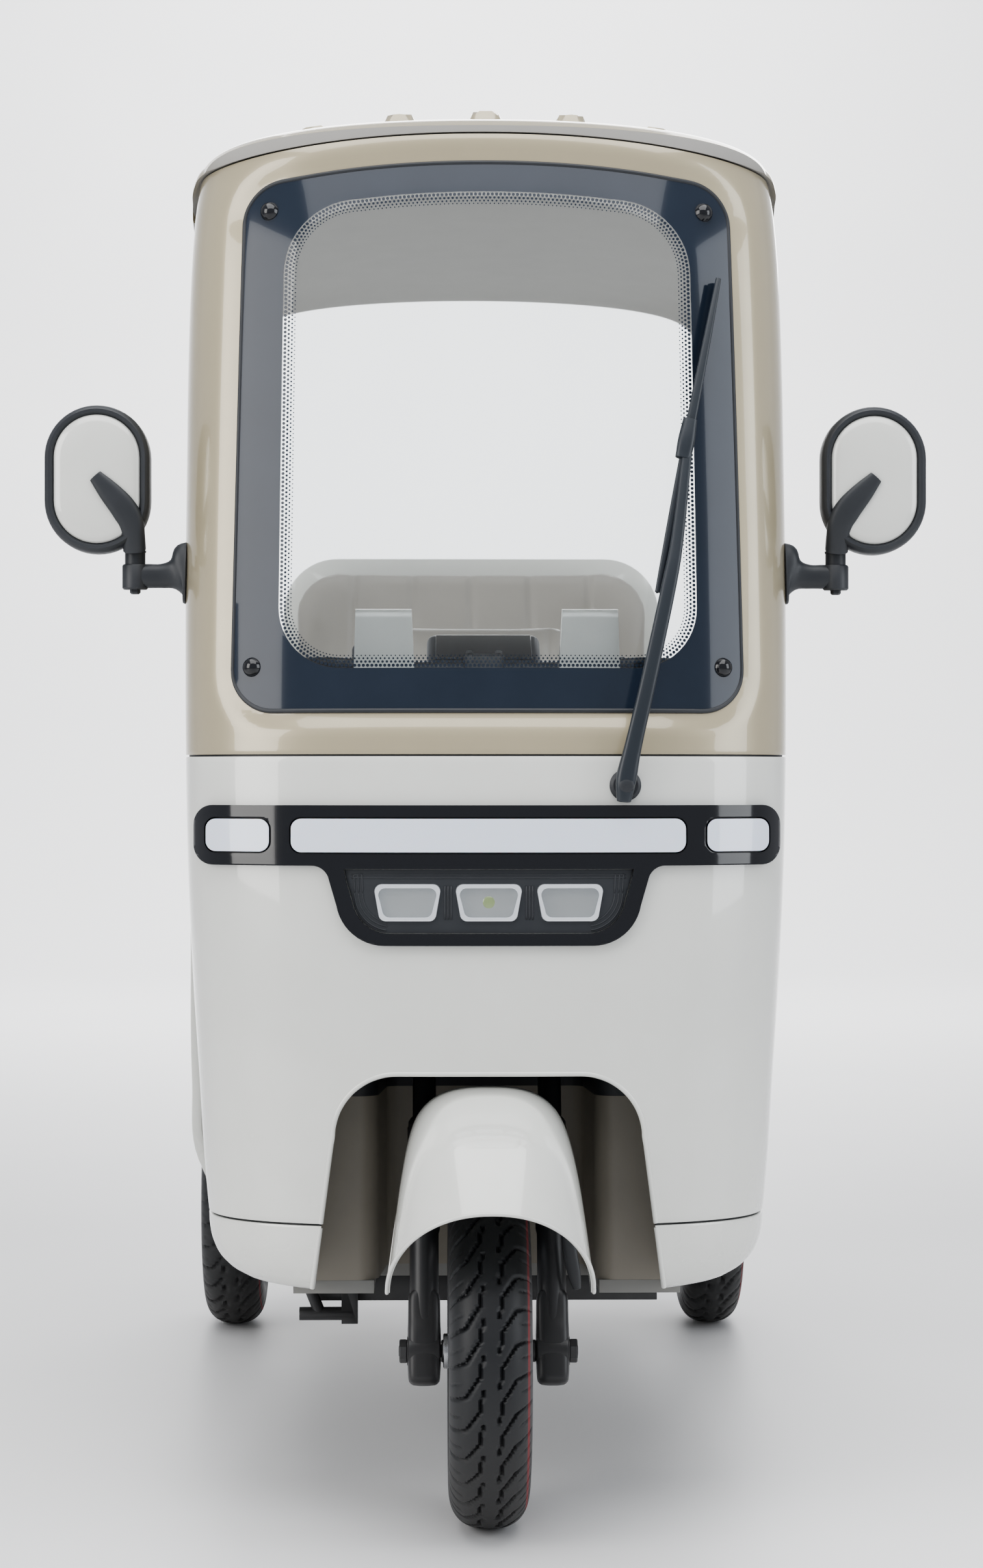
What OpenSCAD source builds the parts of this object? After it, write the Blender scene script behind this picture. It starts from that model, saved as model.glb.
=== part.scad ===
// Electric passenger tricycle: one steered front wheel, a moulded cab front with a
// windscreen, a roof on four pillars, a driver's seat and a rear bench over a driven axle.
// The vehicle faces -Y, +X is its left side and Z = 0 is the ground.

/* [Layout] */
// Distance between the front and rear axles
wheelbase = 1600; // [1550:10:1700]
// Distance from the middle of the vehicle back to the rear axle
rear_axle_y = 775.8; // [700:0.1:850]
// Distance between the middles of the rear tyres
rear_track = 816; // [780:2:820]
// Half width of the rear body
rear_half_w = 462; // [455:1:500]
// Thickness of the moulded body walls
wall = 18; // [14:1:22]

/* [Wheels] */
// Outer diameter of a tyre
tyre_d = 438; // [420:1:446]
// Width of a tyre
tyre_w = 102; // [92:1:106]
// Diameter of the rim's bead seat
rim_d = 254; // [245:1:265]
// Width between the rim's flanges
rim_w = 64; // [56:1:72]
// Number of spokes in a rim
spoke_count = 10; // [5:1:12]
// Radius of the wheel axles
axle_r = 8; // [6:0.5:10]

/* [Steering] */
// Rake of the steering axis from the vertical
rake = 20; // [16:1:22]
// Distance of the front axle ahead of the steering axis
fork_offset = 34; // [28:1:40]
// Distance of each fork leg from the middle
fork_half_w = 81; // [78:1:86]
// Radius of the fork's inner tubes
fork_tube_r = 15; // [13:0.5:16]
// Radius of the fork's lower legs
fork_leg_r = 20; // [18:0.5:22]
// Height of the handlebar above the seam under the windscreen
bar_rise = 119; // [100:1:130]
// Length of the handlebar from grip end to grip end
bar_len = 620; // [580:5:640]

/* [Body] */
// Height of the lowest edge of the front body
body_z0 = 290; // [280:1:300]
// Height of the seam between skirt and front panel
skirt_z = 378; // [370:1:390]
// Height of the seam between front panel and windscreen frame
waist_z = 970; // [960:1:980]
// Height of the roof's highest point, without its ribs
roof_z = 1806; // [1790:1:1830]
// Gap at a seam between two body panels
seam = 1.2; // [0.6:0.2:2]

/* [Seats] */
// Height of the top of the driver's cushion
seat_z = 690; // [670:1:710]
// Width of the driver's seat
driver_seat_w = 390; // [360:5:420]
// Width of the rear bench
bench_w = 690; // [640:5:700]
// Height of the top of the rear bench cushion
bench_z = 770; // [750:1:790]

/* [Hidden] */
$fn = 48;
front_axle_y = rear_axle_y - wheelbase;
tyre_r = tyre_d / 2;
eps = 0.3;

// Colours
cream = "#dfe1dc";
gold = "#c3b89f";
black = "#17191c";
taupe = "#6f6a5e";
steel = "#2a2c2f";
silver = "#b9bcc0";
seat_tan = "#b9ab95";

// A solid between two grids of points, a outside and b inside.
// Both have as many rows and as many points in a row.
module slab(a, b) {
    rows = len(a);
    cols = len(a[0]);
    n = rows * cols;
    points = concat([for (row = a) each row], [for (row = b) each row]);
    skins = [for (r = [0:rows - 2], c = [0:cols - 2]) let (p = r * cols + c)
        each [[p, p + 1, p + cols + 1], [p, p + cols + 1, p + cols],
              [n + p, n + p + cols + 1, n + p + 1], [n + p, n + p + cols, n + p + cols + 1]]];
    row_ends = [for (c = [0:cols - 2]) let (q = (rows - 1) * cols + c)
        each [[c, n + c, n + c + 1], [c, n + c + 1, c + 1],
              [q, q + 1, n + q + 1], [q, n + q + 1, n + q]]];
    col_ends = [for (r = [0:rows - 2]) let (p = r * cols, q = r * cols + cols - 1)
        each [[p, p + cols, n + p + cols], [p, n + p + cols, n + p],
              [q, n + q, n + q + cols], [q, n + q + cols, q + cols]]];
    polyhedron(points, concat(skins, row_ends, col_ends), convexity = 8);
}

// A solid through closed sections that have as many points each, anticlockwise as seen
// from the last section.
module loft(sections) {
    rows = len(sections);
    n = len(sections[0]);
    sides = [for (r = [0:rows - 2], c = [0:n - 1]) let (p = r * n + c, q = r * n + (c + 1) % n)
        each [[p, q + n, q], [p, p + n, q + n]]];
    ends = [[for (c = [0:n - 1]) c], [for (c = [n - 1:-1:0]) (rows - 1) * n + c]];
    polyhedron([for (s = sections) each s], concat(sides, ends), convexity = 6);
}

// Points of an arc about c from angle a0 to a1.
function arc(c, r, a0, a1, n = 8) =
    [for (i = [0:n]) let (a = a0 + (a1 - a0) * i / n) c + r * [cos(a), sin(a)]];

// Outline seen from the front: straight sides, a flat bottom and an arched top.
// sag is how far the top's ends lie below its middle.
function arched_outline(w0, w1, z0, z1, r0, r1, sag) =
    let (drop = sag * pow((w1 - r1) / w1, 2), top = z1 - drop - r1)
    concat(arc([w0 - r0, z0 + r0], r0, -90, 0), arc([w1 - r1, top], r1, 0, 84),
        [for (i = [1:11]) let (x = (w1 - r1) * (1 - i / 6)) [x, z1 - sag * pow(x / w1, 2)]],
        arc([r1 - w1, top], r1, 96, 180), arc([r0 - w0, z0 + r0], r0, 180, 270));

// Extrudes an outline of the XZ plane along Y.
module along_y(y0, y1) {
    translate([0, y1, 0]) rotate([90, 0, 0]) linear_extrude(y1 - y0) children();
}

// Extrudes an outline of the YZ plane along X.
module along_x(x0, x1) {
    translate([x0, 0, 0]) rotate([90, 0, 90]) linear_extrude(x1 - x0) children();
}

// Cab shape by height: height, half width, front face behind the front axle.
cab_table = [
    [290, 271, -12], [299.4, 306, -13], [325, 334, -15], [360, 345, -19], [378, 346, -20],
    [450, 350, -25], [550, 356, -28], [690, 368, -28],
    [840, 375, -24], [970, 380, -17], [1100, 381, -6], [1230, 380, 8], [1350, 378, 22],
    [1470, 375, 38], [1580, 370, 55], [1650, 365, 67], [1700, 358, 78], [1760, 346, 94]];
cab_depth = 220;
cab_square = 2.8;
half_at = [for (s = cab_table) [s[0], s[1]]];
front_at = [for (s = cab_table) [s[0], s[2]]];

// One level of the cab wall, seen from above and lying in by a distance.
function cab_row(z, inset, y_rear, n = 24) =
    let (w = lookup(z, half_at) - inset, d = cab_depth - inset,
        y = front_axle_y + lookup(z, front_at) + cab_depth)
    concat([[w, y_rear, z]],
        [for (i = [0:n]) let (a = 180 * i / n) [w * sign(cos(a)) * pow(abs(cos(a)), 2 / cab_square),
            y - d * pow(sin(a), 2 / cab_square), z]],
        [[-w, y_rear, z]]);

// The cab wall between two heights, from inset a to inset b.
module cab_wall(z0, z1, a, b, y_rear) {
    levels = concat([z0], [for (s = cab_table) if (s[0] > z0 + 5 && s[0] < z1 - 5) s[0]], [z1]);
    slab([for (z = levels) cab_row(z, a, y_rear)], [for (z = levels) cab_row(z, b, y_rear)]);
}

// Opening for the front wheel, seen from the front.
arch_w0 = 222;
arch_w1 = 186;
arch_z = 569;
arch_r = 78;
module arch_outline() {
    polygon(concat([[arch_w0, body_z0 - 60], [arch_w1 + 3, arch_z - arch_r - 10]],
        arc([arch_w1 - arch_r, arch_z - arch_r], arch_r, 0, 90),
        arc([arch_r - arch_w1, arch_z - arch_r], arch_r, 90, 180),
        [[-arch_w1 - 3, arch_z - arch_r - 10], [-arch_w0, body_z0 - 60]]));
}

// Side view of the front body's rear edge: a leg opening behind the cab front.
cowl_y = front_axle_y + 385;
module leg_opening() {
    polygon(concat([[cowl_y + 300, body_z0 - 60], [cowl_y, body_z0 - 60]],
        [[cowl_y, 560]], [for (i = [0:10]) let (t = i / 10)
            [cowl_y - 150 * (1 - cos(90 * t)), 560 + (waist_z + 12 - 560) * sin(90 * t)]],
        [[cowl_y + 300, waist_z + 12]]));
}

wiper_x = 172;
wiper_z = waist_z - 38;

module front_panel() {
    color(cream) difference() {
        cab_wall(skirt_z + seam / 2, waist_z - seam / 2, 0, wall, cowl_y);
        along_y(front_axle_y - 200, front_axle_y + 150) arch_outline();
        along_x(-500, 500) leg_opening();
        along_y(front_axle_y - 200, front_axle_y + 150) translate([wiper_x, wiper_z]) circle(r = 13);
    }
}

module front_skirt() {
    color(cream) difference() {
        cab_wall(body_z0, skirt_z - seam / 2, 0, wall, cowl_y);
        along_y(front_axle_y - 200, front_axle_y + 150) arch_outline();
    }
}

// Windscreen frame and glass
frame_top = 1750;
frame_top_sag = 66;
function frame_arch(lift) = arched_outline(400, 400, waist_z, frame_top + lift, 0.1, 40, frame_top_sag);
screen = arched_outline(325, 313, waist_z + 54, frame_top - 38, 52, 62, 30);
screen_inner = arched_outline(309, 297, waist_z + 70, frame_top - 54, 40, 50, 28);
module screen_prism(outline) {
    along_y(front_axle_y - 200, front_axle_y + 215) polygon(outline);
}

// Side view of the upper cab: the pillar leans back and broadens into the roof.
module pillar_side() {
    polygon(concat([[front_axle_y - 200, waist_z], [cowl_y - 150, waist_z]],
        [for (i = [0:8]) let (t = i / 8)
            [cowl_y - 150 - 26 * sin(180 * t), waist_z + (frame_top - 110 - waist_z) * t]],
        arc([cowl_y - 150 + 60, frame_top - 110], 60, 180, 110, 6),
        [[cowl_y, frame_top + 10], [front_axle_y - 200, frame_top + 10]]));
}

module windscreen_frame() {
    color(gold) difference() {
        intersection() {
            cab_wall(waist_z + seam / 2, 1752, 0, 34, cowl_y);
            along_x(-500, 500) pillar_side();
            along_y(front_axle_y - 200, cowl_y + 10)
                polygon(frame_arch(0));
        }
        intersection() {
            cab_wall(waist_z + 10, 1745, -30, 14, cowl_y);
            screen_prism(screen);
        }
        screen_prism(screen_inner);
    }
}

module windscreen() {
    color("#7f93ab", 0.6) intersection() {
        cab_wall(waist_z + 20, 1740, 8, 13.7, cowl_y);
        screen_prism(arched_outline(324, 312, waist_z + 55, frame_top - 39, 51, 61, 30));
    }
}

// Roof by length: distance behind the front axle, half width, edge height, top height.
roof_table = [
    [82, 354, 1690, 1764], [104, 362, 1692, 1780], [150, 372, 1694, 1792], [250, 384, 1696, 1801],
    [480, 398, 1698, 1806], [850, 412, 1700, 1806], [1230, 416, 1700, 1800], [1480, 410, 1700, 1791],
    [1550, 398, 1702, 1782]];
roof_skin = 20;
function roof_line(s, drop, n = 20) =
    [for (i = [0:n]) let (a = 180 * i / n, w = s[1] - drop * 0.8,
        top = (s[3] + roof_z - 1806 - s[2] - drop) * pow(sin(a), 0.62))
        [w * cos(a), front_axle_y + s[0] + (sin(a) - 1) * 34 * (s[0] < 300 ? -1 : 1), s[2] + top]];
module roof_layer(a, b) {
    slab([for (s = roof_table) roof_line(s, a)], [for (s = roof_table) roof_line(s, b)]);
}
rib_w = 56;
rib_gap = 114;
rib_h = 14;
module roof() {
    color(cream) union() {
        difference() {
            roof_layer(0, roof_skin);
            along_y(front_axle_y - 200, cowl_y + 20) polygon(frame_arch(seam));
        }
        intersection() {
            roof_layer(-rib_h, 2);
            linear_extrude(roof_z + 400) for (i = [-2:2]) translate([i * rib_gap, 0])
                polygon(pill(0, front_axle_y + 810 + 2 * i * i, rib_w, 1220 - 24 * i * i, rib_w / 2 - 1));
        }
    }
}

// Lining of the wheel's recess: flat cheeks and a deeper middle behind the wheel.
well_y = front_axle_y + 130;
well_depth = 150;
well_half = 146;
module wheel_well() {
    t = 8;
    r = 22;
    back = well_y + well_depth;
    corner = [well_half + r, well_y + r];
    half = concat([[well_half + 94, well_y]], arc(corner, r, 270, 180), [[well_half - 8, back]]);
    outer = concat([[well_half - 8 + t, back + t]], arc(corner, r - t, 180, 270), [[well_half + 94, well_y + t]]);
    right = concat(half, [[0, back], [0, back + t]], outer);
    color(taupe) translate([0, 0, floor_z + eps]) linear_extrude(310)
        for (s = [0, 1]) mirror([s, 0]) polygon(right);
}

// Lamps on the front: an outline cut from a layer of the cab wall.
bar_z = waist_z - 101;
bezel_w = 364;
function bezel_outline() =
    let (h = 38, s = 26, foot = bar_z - h) concat(
        arc([bezel_w - s, foot + s], s, -90, 0), arc([bezel_w - s, bar_z + h - s], s, 0, 90),
        arc([s - bezel_w, bar_z + h - s], s, 90, 180), arc([s - bezel_w, foot + s], s, 180, 270),
        arc([-222, foot - 22], 22, 90, 10, 5), arc([-131, lamp_z + 7], 61, 190, 270),
        arc([131, lamp_z + 7], 61, 270, 350), arc([222, foot - 22], 22, 170, 90, 5));
function pill(x, z, w, h, r) = concat(
    arc([x + w / 2 - r, z - h / 2 + r], r, -90, 0, 5), arc([x + w / 2 - r, z + h / 2 - r], r, 0, 90, 5),
    arc([x - w / 2 + r, z + h / 2 - r], r, 90, 180, 5), arc([x - w / 2 + r, z - h / 2 + r], r, 180, 270, 5));
light_bar_shape = [0, bar_z, 497, 42, 12];
turn_x = 318;
turn_shape = [turn_x, bar_z, 83, 41, 12];
lamp_gap = 102;
lamp_z = bar_z - 84;
lamp_w = 82;
lamp_h = 46;
tray_outline = concat([[181, lamp_z + 41], [-181, lamp_z + 41], [-178, lamp_z + 27]],
    arc([-124, lamp_z + 9], 47, 190, 270), arc([124, lamp_z + 9], 47, 270, 350), [[178, lamp_z + 27]]);
module pill_shape(s, grow = 0) {
    polygon(pill(s[0], s[1], s[2] + 2 * grow, s[3] + 2 * grow, s[4] + grow));
}
module front_layer(a, b) {
    cab_wall(lamp_z - 85, waist_z - 20, a, b, cowl_y);
}
module to_front() {
    along_y(front_axle_y - 200, front_axle_y + 210) children();
}

module lamp_bezel() {
    color(black) difference() {
        intersection() {
            front_layer(-9, -eps);
            to_front() polygon(bezel_outline());
        }
        to_front() pill_shape(light_bar_shape, 1);
        to_front() for (s = [0, 1]) mirror([s, 0]) pill_shape(turn_shape, 1);
        to_front() offset(delta = 1) polygon(tray_outline);
    }
}

module light_bar() {
    color("#eef2f6") intersection() {
        front_layer(-12, -eps);
        to_front() pill_shape(light_bar_shape);
    }
}

module turn_lamps() {
    color("#eef2f6") intersection() {
        front_layer(-12, -eps);
        to_front() for (s = [0, 1]) mirror([s, 0]) pill_shape(turn_shape);
    }
}

module lamp_shape(grow) {
    w = lamp_w / 2 + grow;
    h = lamp_h / 2 + grow;
    r = 9;
    for (i = [-1:1]) translate([i * lamp_gap, lamp_z]) polygon(concat(
        arc([w - 5 - r, r - h], r, -90, -4, 4), arc([w - r, h - r], r, -4, 90, 4),
        arc([r - w, h - r], r, 90, 184, 4), arc([5 + r - w, r - h], r, 184, 270, 4)));
}
module headlamp_tray() {
    color("#202329") difference() {
        intersection() {
            front_layer(-4, -eps);
            to_front() polygon(tray_outline);
        }
        to_front() lamp_shape(0.5);
    }
}

module headlamps() {
    color("#cfd6dd") intersection() {
        front_layer(-7, -eps);
        to_front() lamp_shape(0);
    }
}

// Front of the cab wall at a place on it, lying in by a distance.
function face_y(x, z, inset = 0) =
    let (flat = min(abs(x) / (lookup(z, half_at) - inset), 1))
    front_axle_y + lookup(z, front_at) + cab_depth
    - (cab_depth - inset) * pow(1 - pow(flat, cab_square), 1 / cab_square);

// Round plugs that hold the glass: x, z.
cap_places = [for (s = [1, -1]) each [[s * 276, frame_top - 110], [s * 294, waist_z + 108]]];
module screen_caps() {
    color(black) for (c = cap_places) {
        across = atan((face_y(c[0] + 4, c[1]) - face_y(c[0] - 4, c[1])) / 8);
        lean = atan((face_y(c[0], c[1] + 20) - face_y(c[0], c[1] - 20)) / 40);
        translate([c[0], face_y(c[0], c[1], 8) - 2, c[1]]) rotate([90 - lean, 0, across])
            cylinder(r1 = 12, r2 = 9, h = 6);
    }
}

// A bar through places on the screen's face: x, z, lift off the face, width, height.
module face_bar(places) {
    loft([for (p = places) let (y = face_y(p[0], p[1]) - p[2], w = p[3] / 2, h = p[4] / 2)
        [[p[0] - w, y - h, p[1]], [p[0] + w, y - h, p[1]],
         [p[0] + w, y + h, p[1]], [p[0] - w, y + h, p[1]]]]);
}

wiper_tip = [290, frame_top - 190];
wiper_heel = [214, waist_z + 206];
module wiper() {
    lean = [for (i = [0:6]) wiper_heel + (wiper_tip - wiper_heel) * i / 6];
    color(steel) union() {
        translate([wiper_x, face_y(wiper_x, wiper_z), wiper_z]) rotate([90, 0, 0]) {
            translate([0, 0, -wall]) cylinder(r = 13 - eps, h = wall + 4);
            translate([0, 0, 3]) cylinder(r = 17, h = 22);
        }
        face_bar([[wiper_x - 2, wiper_z - 8, 22, 26, 16], [wiper_x + 8, wiper_z + 40, 25, 22, 12],
            [236, wiper_heel[1] + 50, 22, 17, 11], [256, wiper_heel[1] + 196, 14, 11, 9]]);
        face_bar([for (p = lean) [p[0], p[1], 1.4, 5, 18]]);
        face_bar([for (p = lean) [p[0], p[1], 8, 13, 6]]);
    }
}

// Mirrors
mirror_y = front_axle_y + 178;
mirror_z = waist_z + 266;
post_x = 446;
module mirror_arm() {
    w = lookup(mirror_z - 26, half_at);
    hull() {
        translate([w + 2, mirror_y, mirror_z - 26]) cube([3, 46, 84], center = true);
        translate([w + 16, mirror_y, mirror_z - 29]) cube([3, 30, 34], center = true);
    }
    hull() {
        translate([w + 14, mirror_y, mirror_z - 29]) cube([3, 28, 32], center = true);
        translate([post_x, mirror_y, mirror_z - 45]) cylinder(r = 16, h = 30);
    }
    translate([post_x, mirror_y, mirror_z - 18]) cylinder(r = 13.5, h = 18);
}

module mirror_arms() {
    color(black) for (s = [0, 1]) mirror([s, 0, 0]) mirror_arm();
}

// One layer of the mirror's head: two circles hulled, from depth d0 to d1.
module mirror_layer(grow, d0, d1) {
    translate([0, d0, 0]) rotate([90, 0, 0]) mirror([0, 0, 1]) linear_extrude(d1 - d0)
        hull() for (z = [67, 116]) translate([494, mirror_z + z]) circle(r = 66 + grow);
}

module mirror_head() {
    neck = [post_x + 6, mirror_z + 46];
    translate([0, mirror_y - 16, 0]) {
        hull() {
            mirror_layer(-14, -14, -12);
            mirror_layer(0, 0, 2);
            mirror_layer(0, 22, 24);
        }
        hull() {
            translate([post_x, -4, mirror_z + eps]) cylinder(r = 17, h = 30);
            translate([neck[0], -10, neck[1]]) rotate([90, 0, 0]) cylinder(r = 19, h = 12, center = true);
        }
        hull() for (p = [neck, [494, mirror_z + 94]])
            translate([p[0], -12, p[1]]) rotate([90, 0, 0]) cylinder(r = 19, h = 10, center = true);
    }
}

module mirror_left() {
    color(cream) mirror_head();
}

module mirror_right() {
    color(cream) mirror([1, 0, 0]) mirror_head();
}

// Steering geometry: places along the axis are measured from the point nearest the axle.
axis_y = front_axle_y + fork_offset * cos(rake);
axis_z = tyre_r - fork_offset * sin(rake);
module on_steering_axis(s = 0) {
    translate([0, axis_y, axis_z]) rotate([-rake, 0, 0]) translate([0, 0, s]) children();
}
module on_leg(side, s = 0) {
    translate([side * fork_half_w, front_axle_y, tyre_r]) rotate([-rake, 0, 0])
        translate([0, 0, s]) children();
}
bar_reach = (waist_z + bar_rise - axis_z) / cos(rake);
stem_r = 16;
head_s0 = 478;
head_s1 = 640;

// Frame
rail_x = rear_track / 2 - 193;
rail_z = 252;
rail = 40;
rail_y0 = front_axle_y + 330;
rail_y1 = rear_axle_y + 305;
spring_half = 284;
spring_z = 276;
deck_z = 292;
floor_z = 290;
module tube_between(p, q, r) {
    d = q - p;
    translate(p) rotate([0, acos(d[2] / norm(d)), atan2(d[1], d[0])]) cylinder(r = r, h = norm(d));
}

// Ends of the lower part of a down tube.
function down_bend(s) = [s * 52, front_axle_y + 312, 610];
function down_foot(s) = [s * 62, rail_y0 + 20, rail_z];

module frame() {
    color(steel) difference() {
        union() {
            for (s = [-1, 1]) translate([s * rail_x - rail / 2, rail_y0, rail_z - rail / 2])
                cube([rail, rail_y1 - rail_y0, rail]);
            for (y = [rail_y0, rail_y0 + 520, rear_axle_y - 420, rail_y1 - rail])
                translate([-rail_x, y, rail_z - rail / 2]) cube([2 * rail_x, rail, rail]);
            for (s = [-1, 1]) {
                bend = down_bend(s);
                tube_between([s * 10, front_axle_y + 232, 735], bend, 14);
                tube_between(bend, down_foot(s), 14);
                translate(bend) sphere(r = 16);
                translate([s * rail_x - rail / 2, rear_axle_y - 90, rail_z]) cube([rail, 180, rail - 4]);
                for (y = [bench_y0 + 6, bench_y1 - 50])
                    translate([s * rail_x - rail / 2, y, rail_z]) cube([rail, 44, base_z0 - rail_z - eps]);
                for (y = [-1, 1]) translate([s * (rail_x + 50), rear_axle_y + y * spring_half, 0]) {
                    translate([-30, -12, spring_z + eps]) cube([60, 24, deck_z - spring_z - 2 * eps]);
                    translate([-s * 27 - 4, -12, spring_z - 20]) cube([8, 24, 34]);
                }
            }
        }
        on_steering_axis(0) cylinder(r = head_r, h = 900);
        translate([-300, rear_axle_y, tyre_r]) rotate([0, 90, 0]) cylinder(r = axle_tube_r + 8, h = 600);
    }
}

head_r = 27;
module head_tube() {
    color(steel) difference() {
        on_steering_axis(head_s0) cylinder(r = head_r - 0.01, h = head_s1 - head_s0);
        on_steering_axis(head_s0 - 50) cylinder(r = stem_r + 0.05, h = head_s1 - head_s0 + 100);
    }
}

// Dashboard: a top that meets the screen, a knee panel and two raised pods.
knee_y = front_axle_y + 372;
dash_z = waist_z - 3;
module dashboard() {
    color(cream) difference() {
        union() {
            along_x(-360, 360) polygon([[front_axle_y + 10, dash_z], [knee_y - 26, dash_z],
                [knee_y, dash_z - 24], [knee_y, floor_z + eps], [knee_y - 9, floor_z + eps],
                [knee_y - 9, dash_z - 28], [knee_y - 30, dash_z - 9], [front_axle_y + 10, dash_z - 9]]);
            for (s = [-1, 1]) hull() {
                translate([s * 127 - 42, front_axle_y + 100, dash_z - 5]) cube([84, 100, 4]);
                for (p = [[128, 179], [168, 163]]) translate([s * 129, front_axle_y + p[0], dash_z + p[1]])
                    rotate([0, 90, 0]) cylinder(r = 14, h = 70, center = true);
            }
        }
        on_steering_axis(700) cylinder(r = stem_r + 12, h = 260);
        cab_gap();
    }
}
// What lies outside the cab's inner wall, cut from the dashboard.
module cab_gap() {
    difference() {
        translate([-500, front_axle_y - 200, floor_z - 5]) cube([1000, 700, 760]);
        cab_core();
    }
}
module cab_core() {
    levels = [280, 290, 299.4, 325, 360, 378, 550, 690, 840, 965, 1075];
    loft([for (z = levels) let (row = cab_row(z, wall + eps, knee_y + 20))
        [for (i = [len(row) - 1:-1:0]) row[i]]]);
}

module floor_pan() {
    w0 = lookup(floor_z, half_at) - wall - 2;
    w1 = 350;
    y0 = well_y - 6;
    y1 = bench_y0 + eps;
    side = [[w0, y0], [w0, cowl_y + 4], [w1, cowl_y + 24], [w1, y1]];
    color(taupe) difference() {
        translate([0, 0, floor_z - 17]) linear_extrude(17)
            polygon(concat(side, [for (i = [3:-1:0]) [-side[i][0], side[i][1]]]));
        translate([-well_half, y0 - 1, floor_z - 20]) cube([2 * well_half, well_depth + 7, 30]);
        for (s = [-1, 1]) tube_between(down_bend(s), down_foot(s), 16);
    }
    translate([-300, box_y1 + 24, floor_z]) color(taupe) cube([600, bench_y0 - box_y1 - 48, 3]);
}

// Driver's seat: a box on the floor, a plate hinged at its front, cushion and backrest.
box_y0 = front_axle_y + 590;
box_y1 = front_axle_y + 900;
plate_z = seat_z - 62;
hinge_y = box_y0 - 16;
hinge_z = plate_z - 6;
module seat_box() {
    w = driver_seat_w / 2 - 12;
    color(cream) union() {
        difference() {
            translate([-w, box_y0, floor_z]) cube([2 * w, box_y1 - box_y0, plate_z - floor_z - eps - 2]);
            translate([-w + 8, box_y0 + 8, floor_z + 8]) cube([2 * w - 16, box_y1 - box_y0 - 16, 400]);
        }
        translate([-104, hinge_y, hinge_z]) rotate([0, 90, 0]) cylinder(r = 5, h = 208);
        translate([-60, hinge_y - 5, hinge_z - 44]) cube([120, box_y0 - hinge_y + 6, 49]);
    }
}

module seat_plate() {
    w = driver_seat_w / 2 - 8;
    color(steel) difference() {
        union() {
            translate([-w, box_y0 - 2, plate_z]) cube([2 * w, box_y1 - box_y0 + 6, 6]);
            for (s = [-1, 1]) {
                translate([s * 85 - 15, hinge_y, hinge_z]) rotate([0, 90, 0]) cylinder(r = 9, h = 30);
                translate([s * 85 - 13, hinge_y - 3, plate_z + 0.5]) cube([26, 24, 5]);
                translate([s * 130 - 13, box_y1 - 4, plate_z + 0.5]) cube([26, 62, 5]);
                at_seat_back() translate([s * 130 - 15, 31 + eps, -42]) cube([30, 8, 210]);
            }
        }
        translate([-120, hinge_y, hinge_z]) rotate([0, 90, 0]) cylinder(r = 5.05, h = 240);
    }
}
module at_seat_back() {
    translate([0, box_y1 + 28, seat_z - 20]) rotate([-8, 0, 0]) children();
}

module soft_block(w, d, h, r) {
    hull() for (x = [-1, 1], y = [-1, 1]) translate([x * (w / 2 - r), y * (d / 2 - r), 0]) {
        translate([0, 0, r]) sphere(r = r, $fn = 16);
        translate([0, 0, h - r]) sphere(r = r, $fn = 16);
    }
}

module driver_cushion() {
    color(seat_tan) translate([0, (box_y0 + box_y1) / 2 - 4, plate_z + 6 + eps])
        soft_block(driver_seat_w, box_y1 - box_y0 - 18, seat_z - plate_z - 6, 22);
}

module driver_backrest() {
    color(seat_tan) at_seat_back()
        soft_block(driver_seat_w - 14, 62, 1196 - seat_z + 24, 26);
}

// Rear body: a hollow tub open to the front, with arches over the rear wheels.
tub_y0 = rear_axle_y - 372;
tub_y1 = rear_axle_y + 312;
tub_table = [[292, 436, 50], [330, 452, 22], [450, 460, 6], [650, 462, 0], [820, 460, 4], [900, 452, 14],
    [918, 446, 22]];
function tub_row(s, inset, n = 20) =
    let (w = s[1] + rear_half_w - 462 - inset, d = 190, y1 = tub_y1 - s[2] - inset)
    concat([[w, tub_y0, s[0]]],
        [for (i = [0:n]) let (a = 180 * i / n) [w * sign(cos(a)) * pow(abs(cos(a)), 0.62),
            y1 - d + d * pow(sin(a), 0.62), s[0]]],
        [[-w, tub_y0, s[0]]]);
arch_clear = 34;
house_x = rear_track / 2 - tyre_w / 2 - 39;
module rear_body() {
    color(cream) difference() {
        union() {
            slab([for (s = tub_table) tub_row(s, wall)], [for (s = tub_table) tub_row(s, 0)]);
            for (s = [-1, 1]) wheel_house(s);
            translate([0, 0, deck_z + eps]) linear_extrude(8)
                polygon([for (p = tub_row(tub_table[0], wall / 2)) [p[0], p[1]]]);
        }
        for (s = [-1, 1], y = [bench_y0 + 6, bench_y1 - 50])
            translate([s * rail_x - rail / 2 - 1, y - 1, floor_z]) cube([rail + 2, 46, 20]);
        translate([-52, rear_axle_y - 82, floor_z]) cube([104, 164, 20]);
        for (s = [-1, 1]) translate([s * (house_x + 82), rear_axle_y, tyre_r]) rotate([0, 90, 0])
            cylinder(r = tyre_r + arch_clear, h = 150, center = true, $fn = 64);
    }
}
// A box over each rear wheel, open downwards and to the side.
module wheel_house(s) {
    w = rear_half_w - wall - 1;
    intersection() {
        translate([s * (w + house_x) / 2, rear_axle_y, tyre_r]) rotate([0, 90, 0])
            cylinder(r = tyre_r + arch_clear + 6, h = w - house_x, center = true, $fn = 64);
        translate([-500, rear_axle_y - 400, deck_z + 4]) cube([1000, 800, 400]);
    }
}

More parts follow.
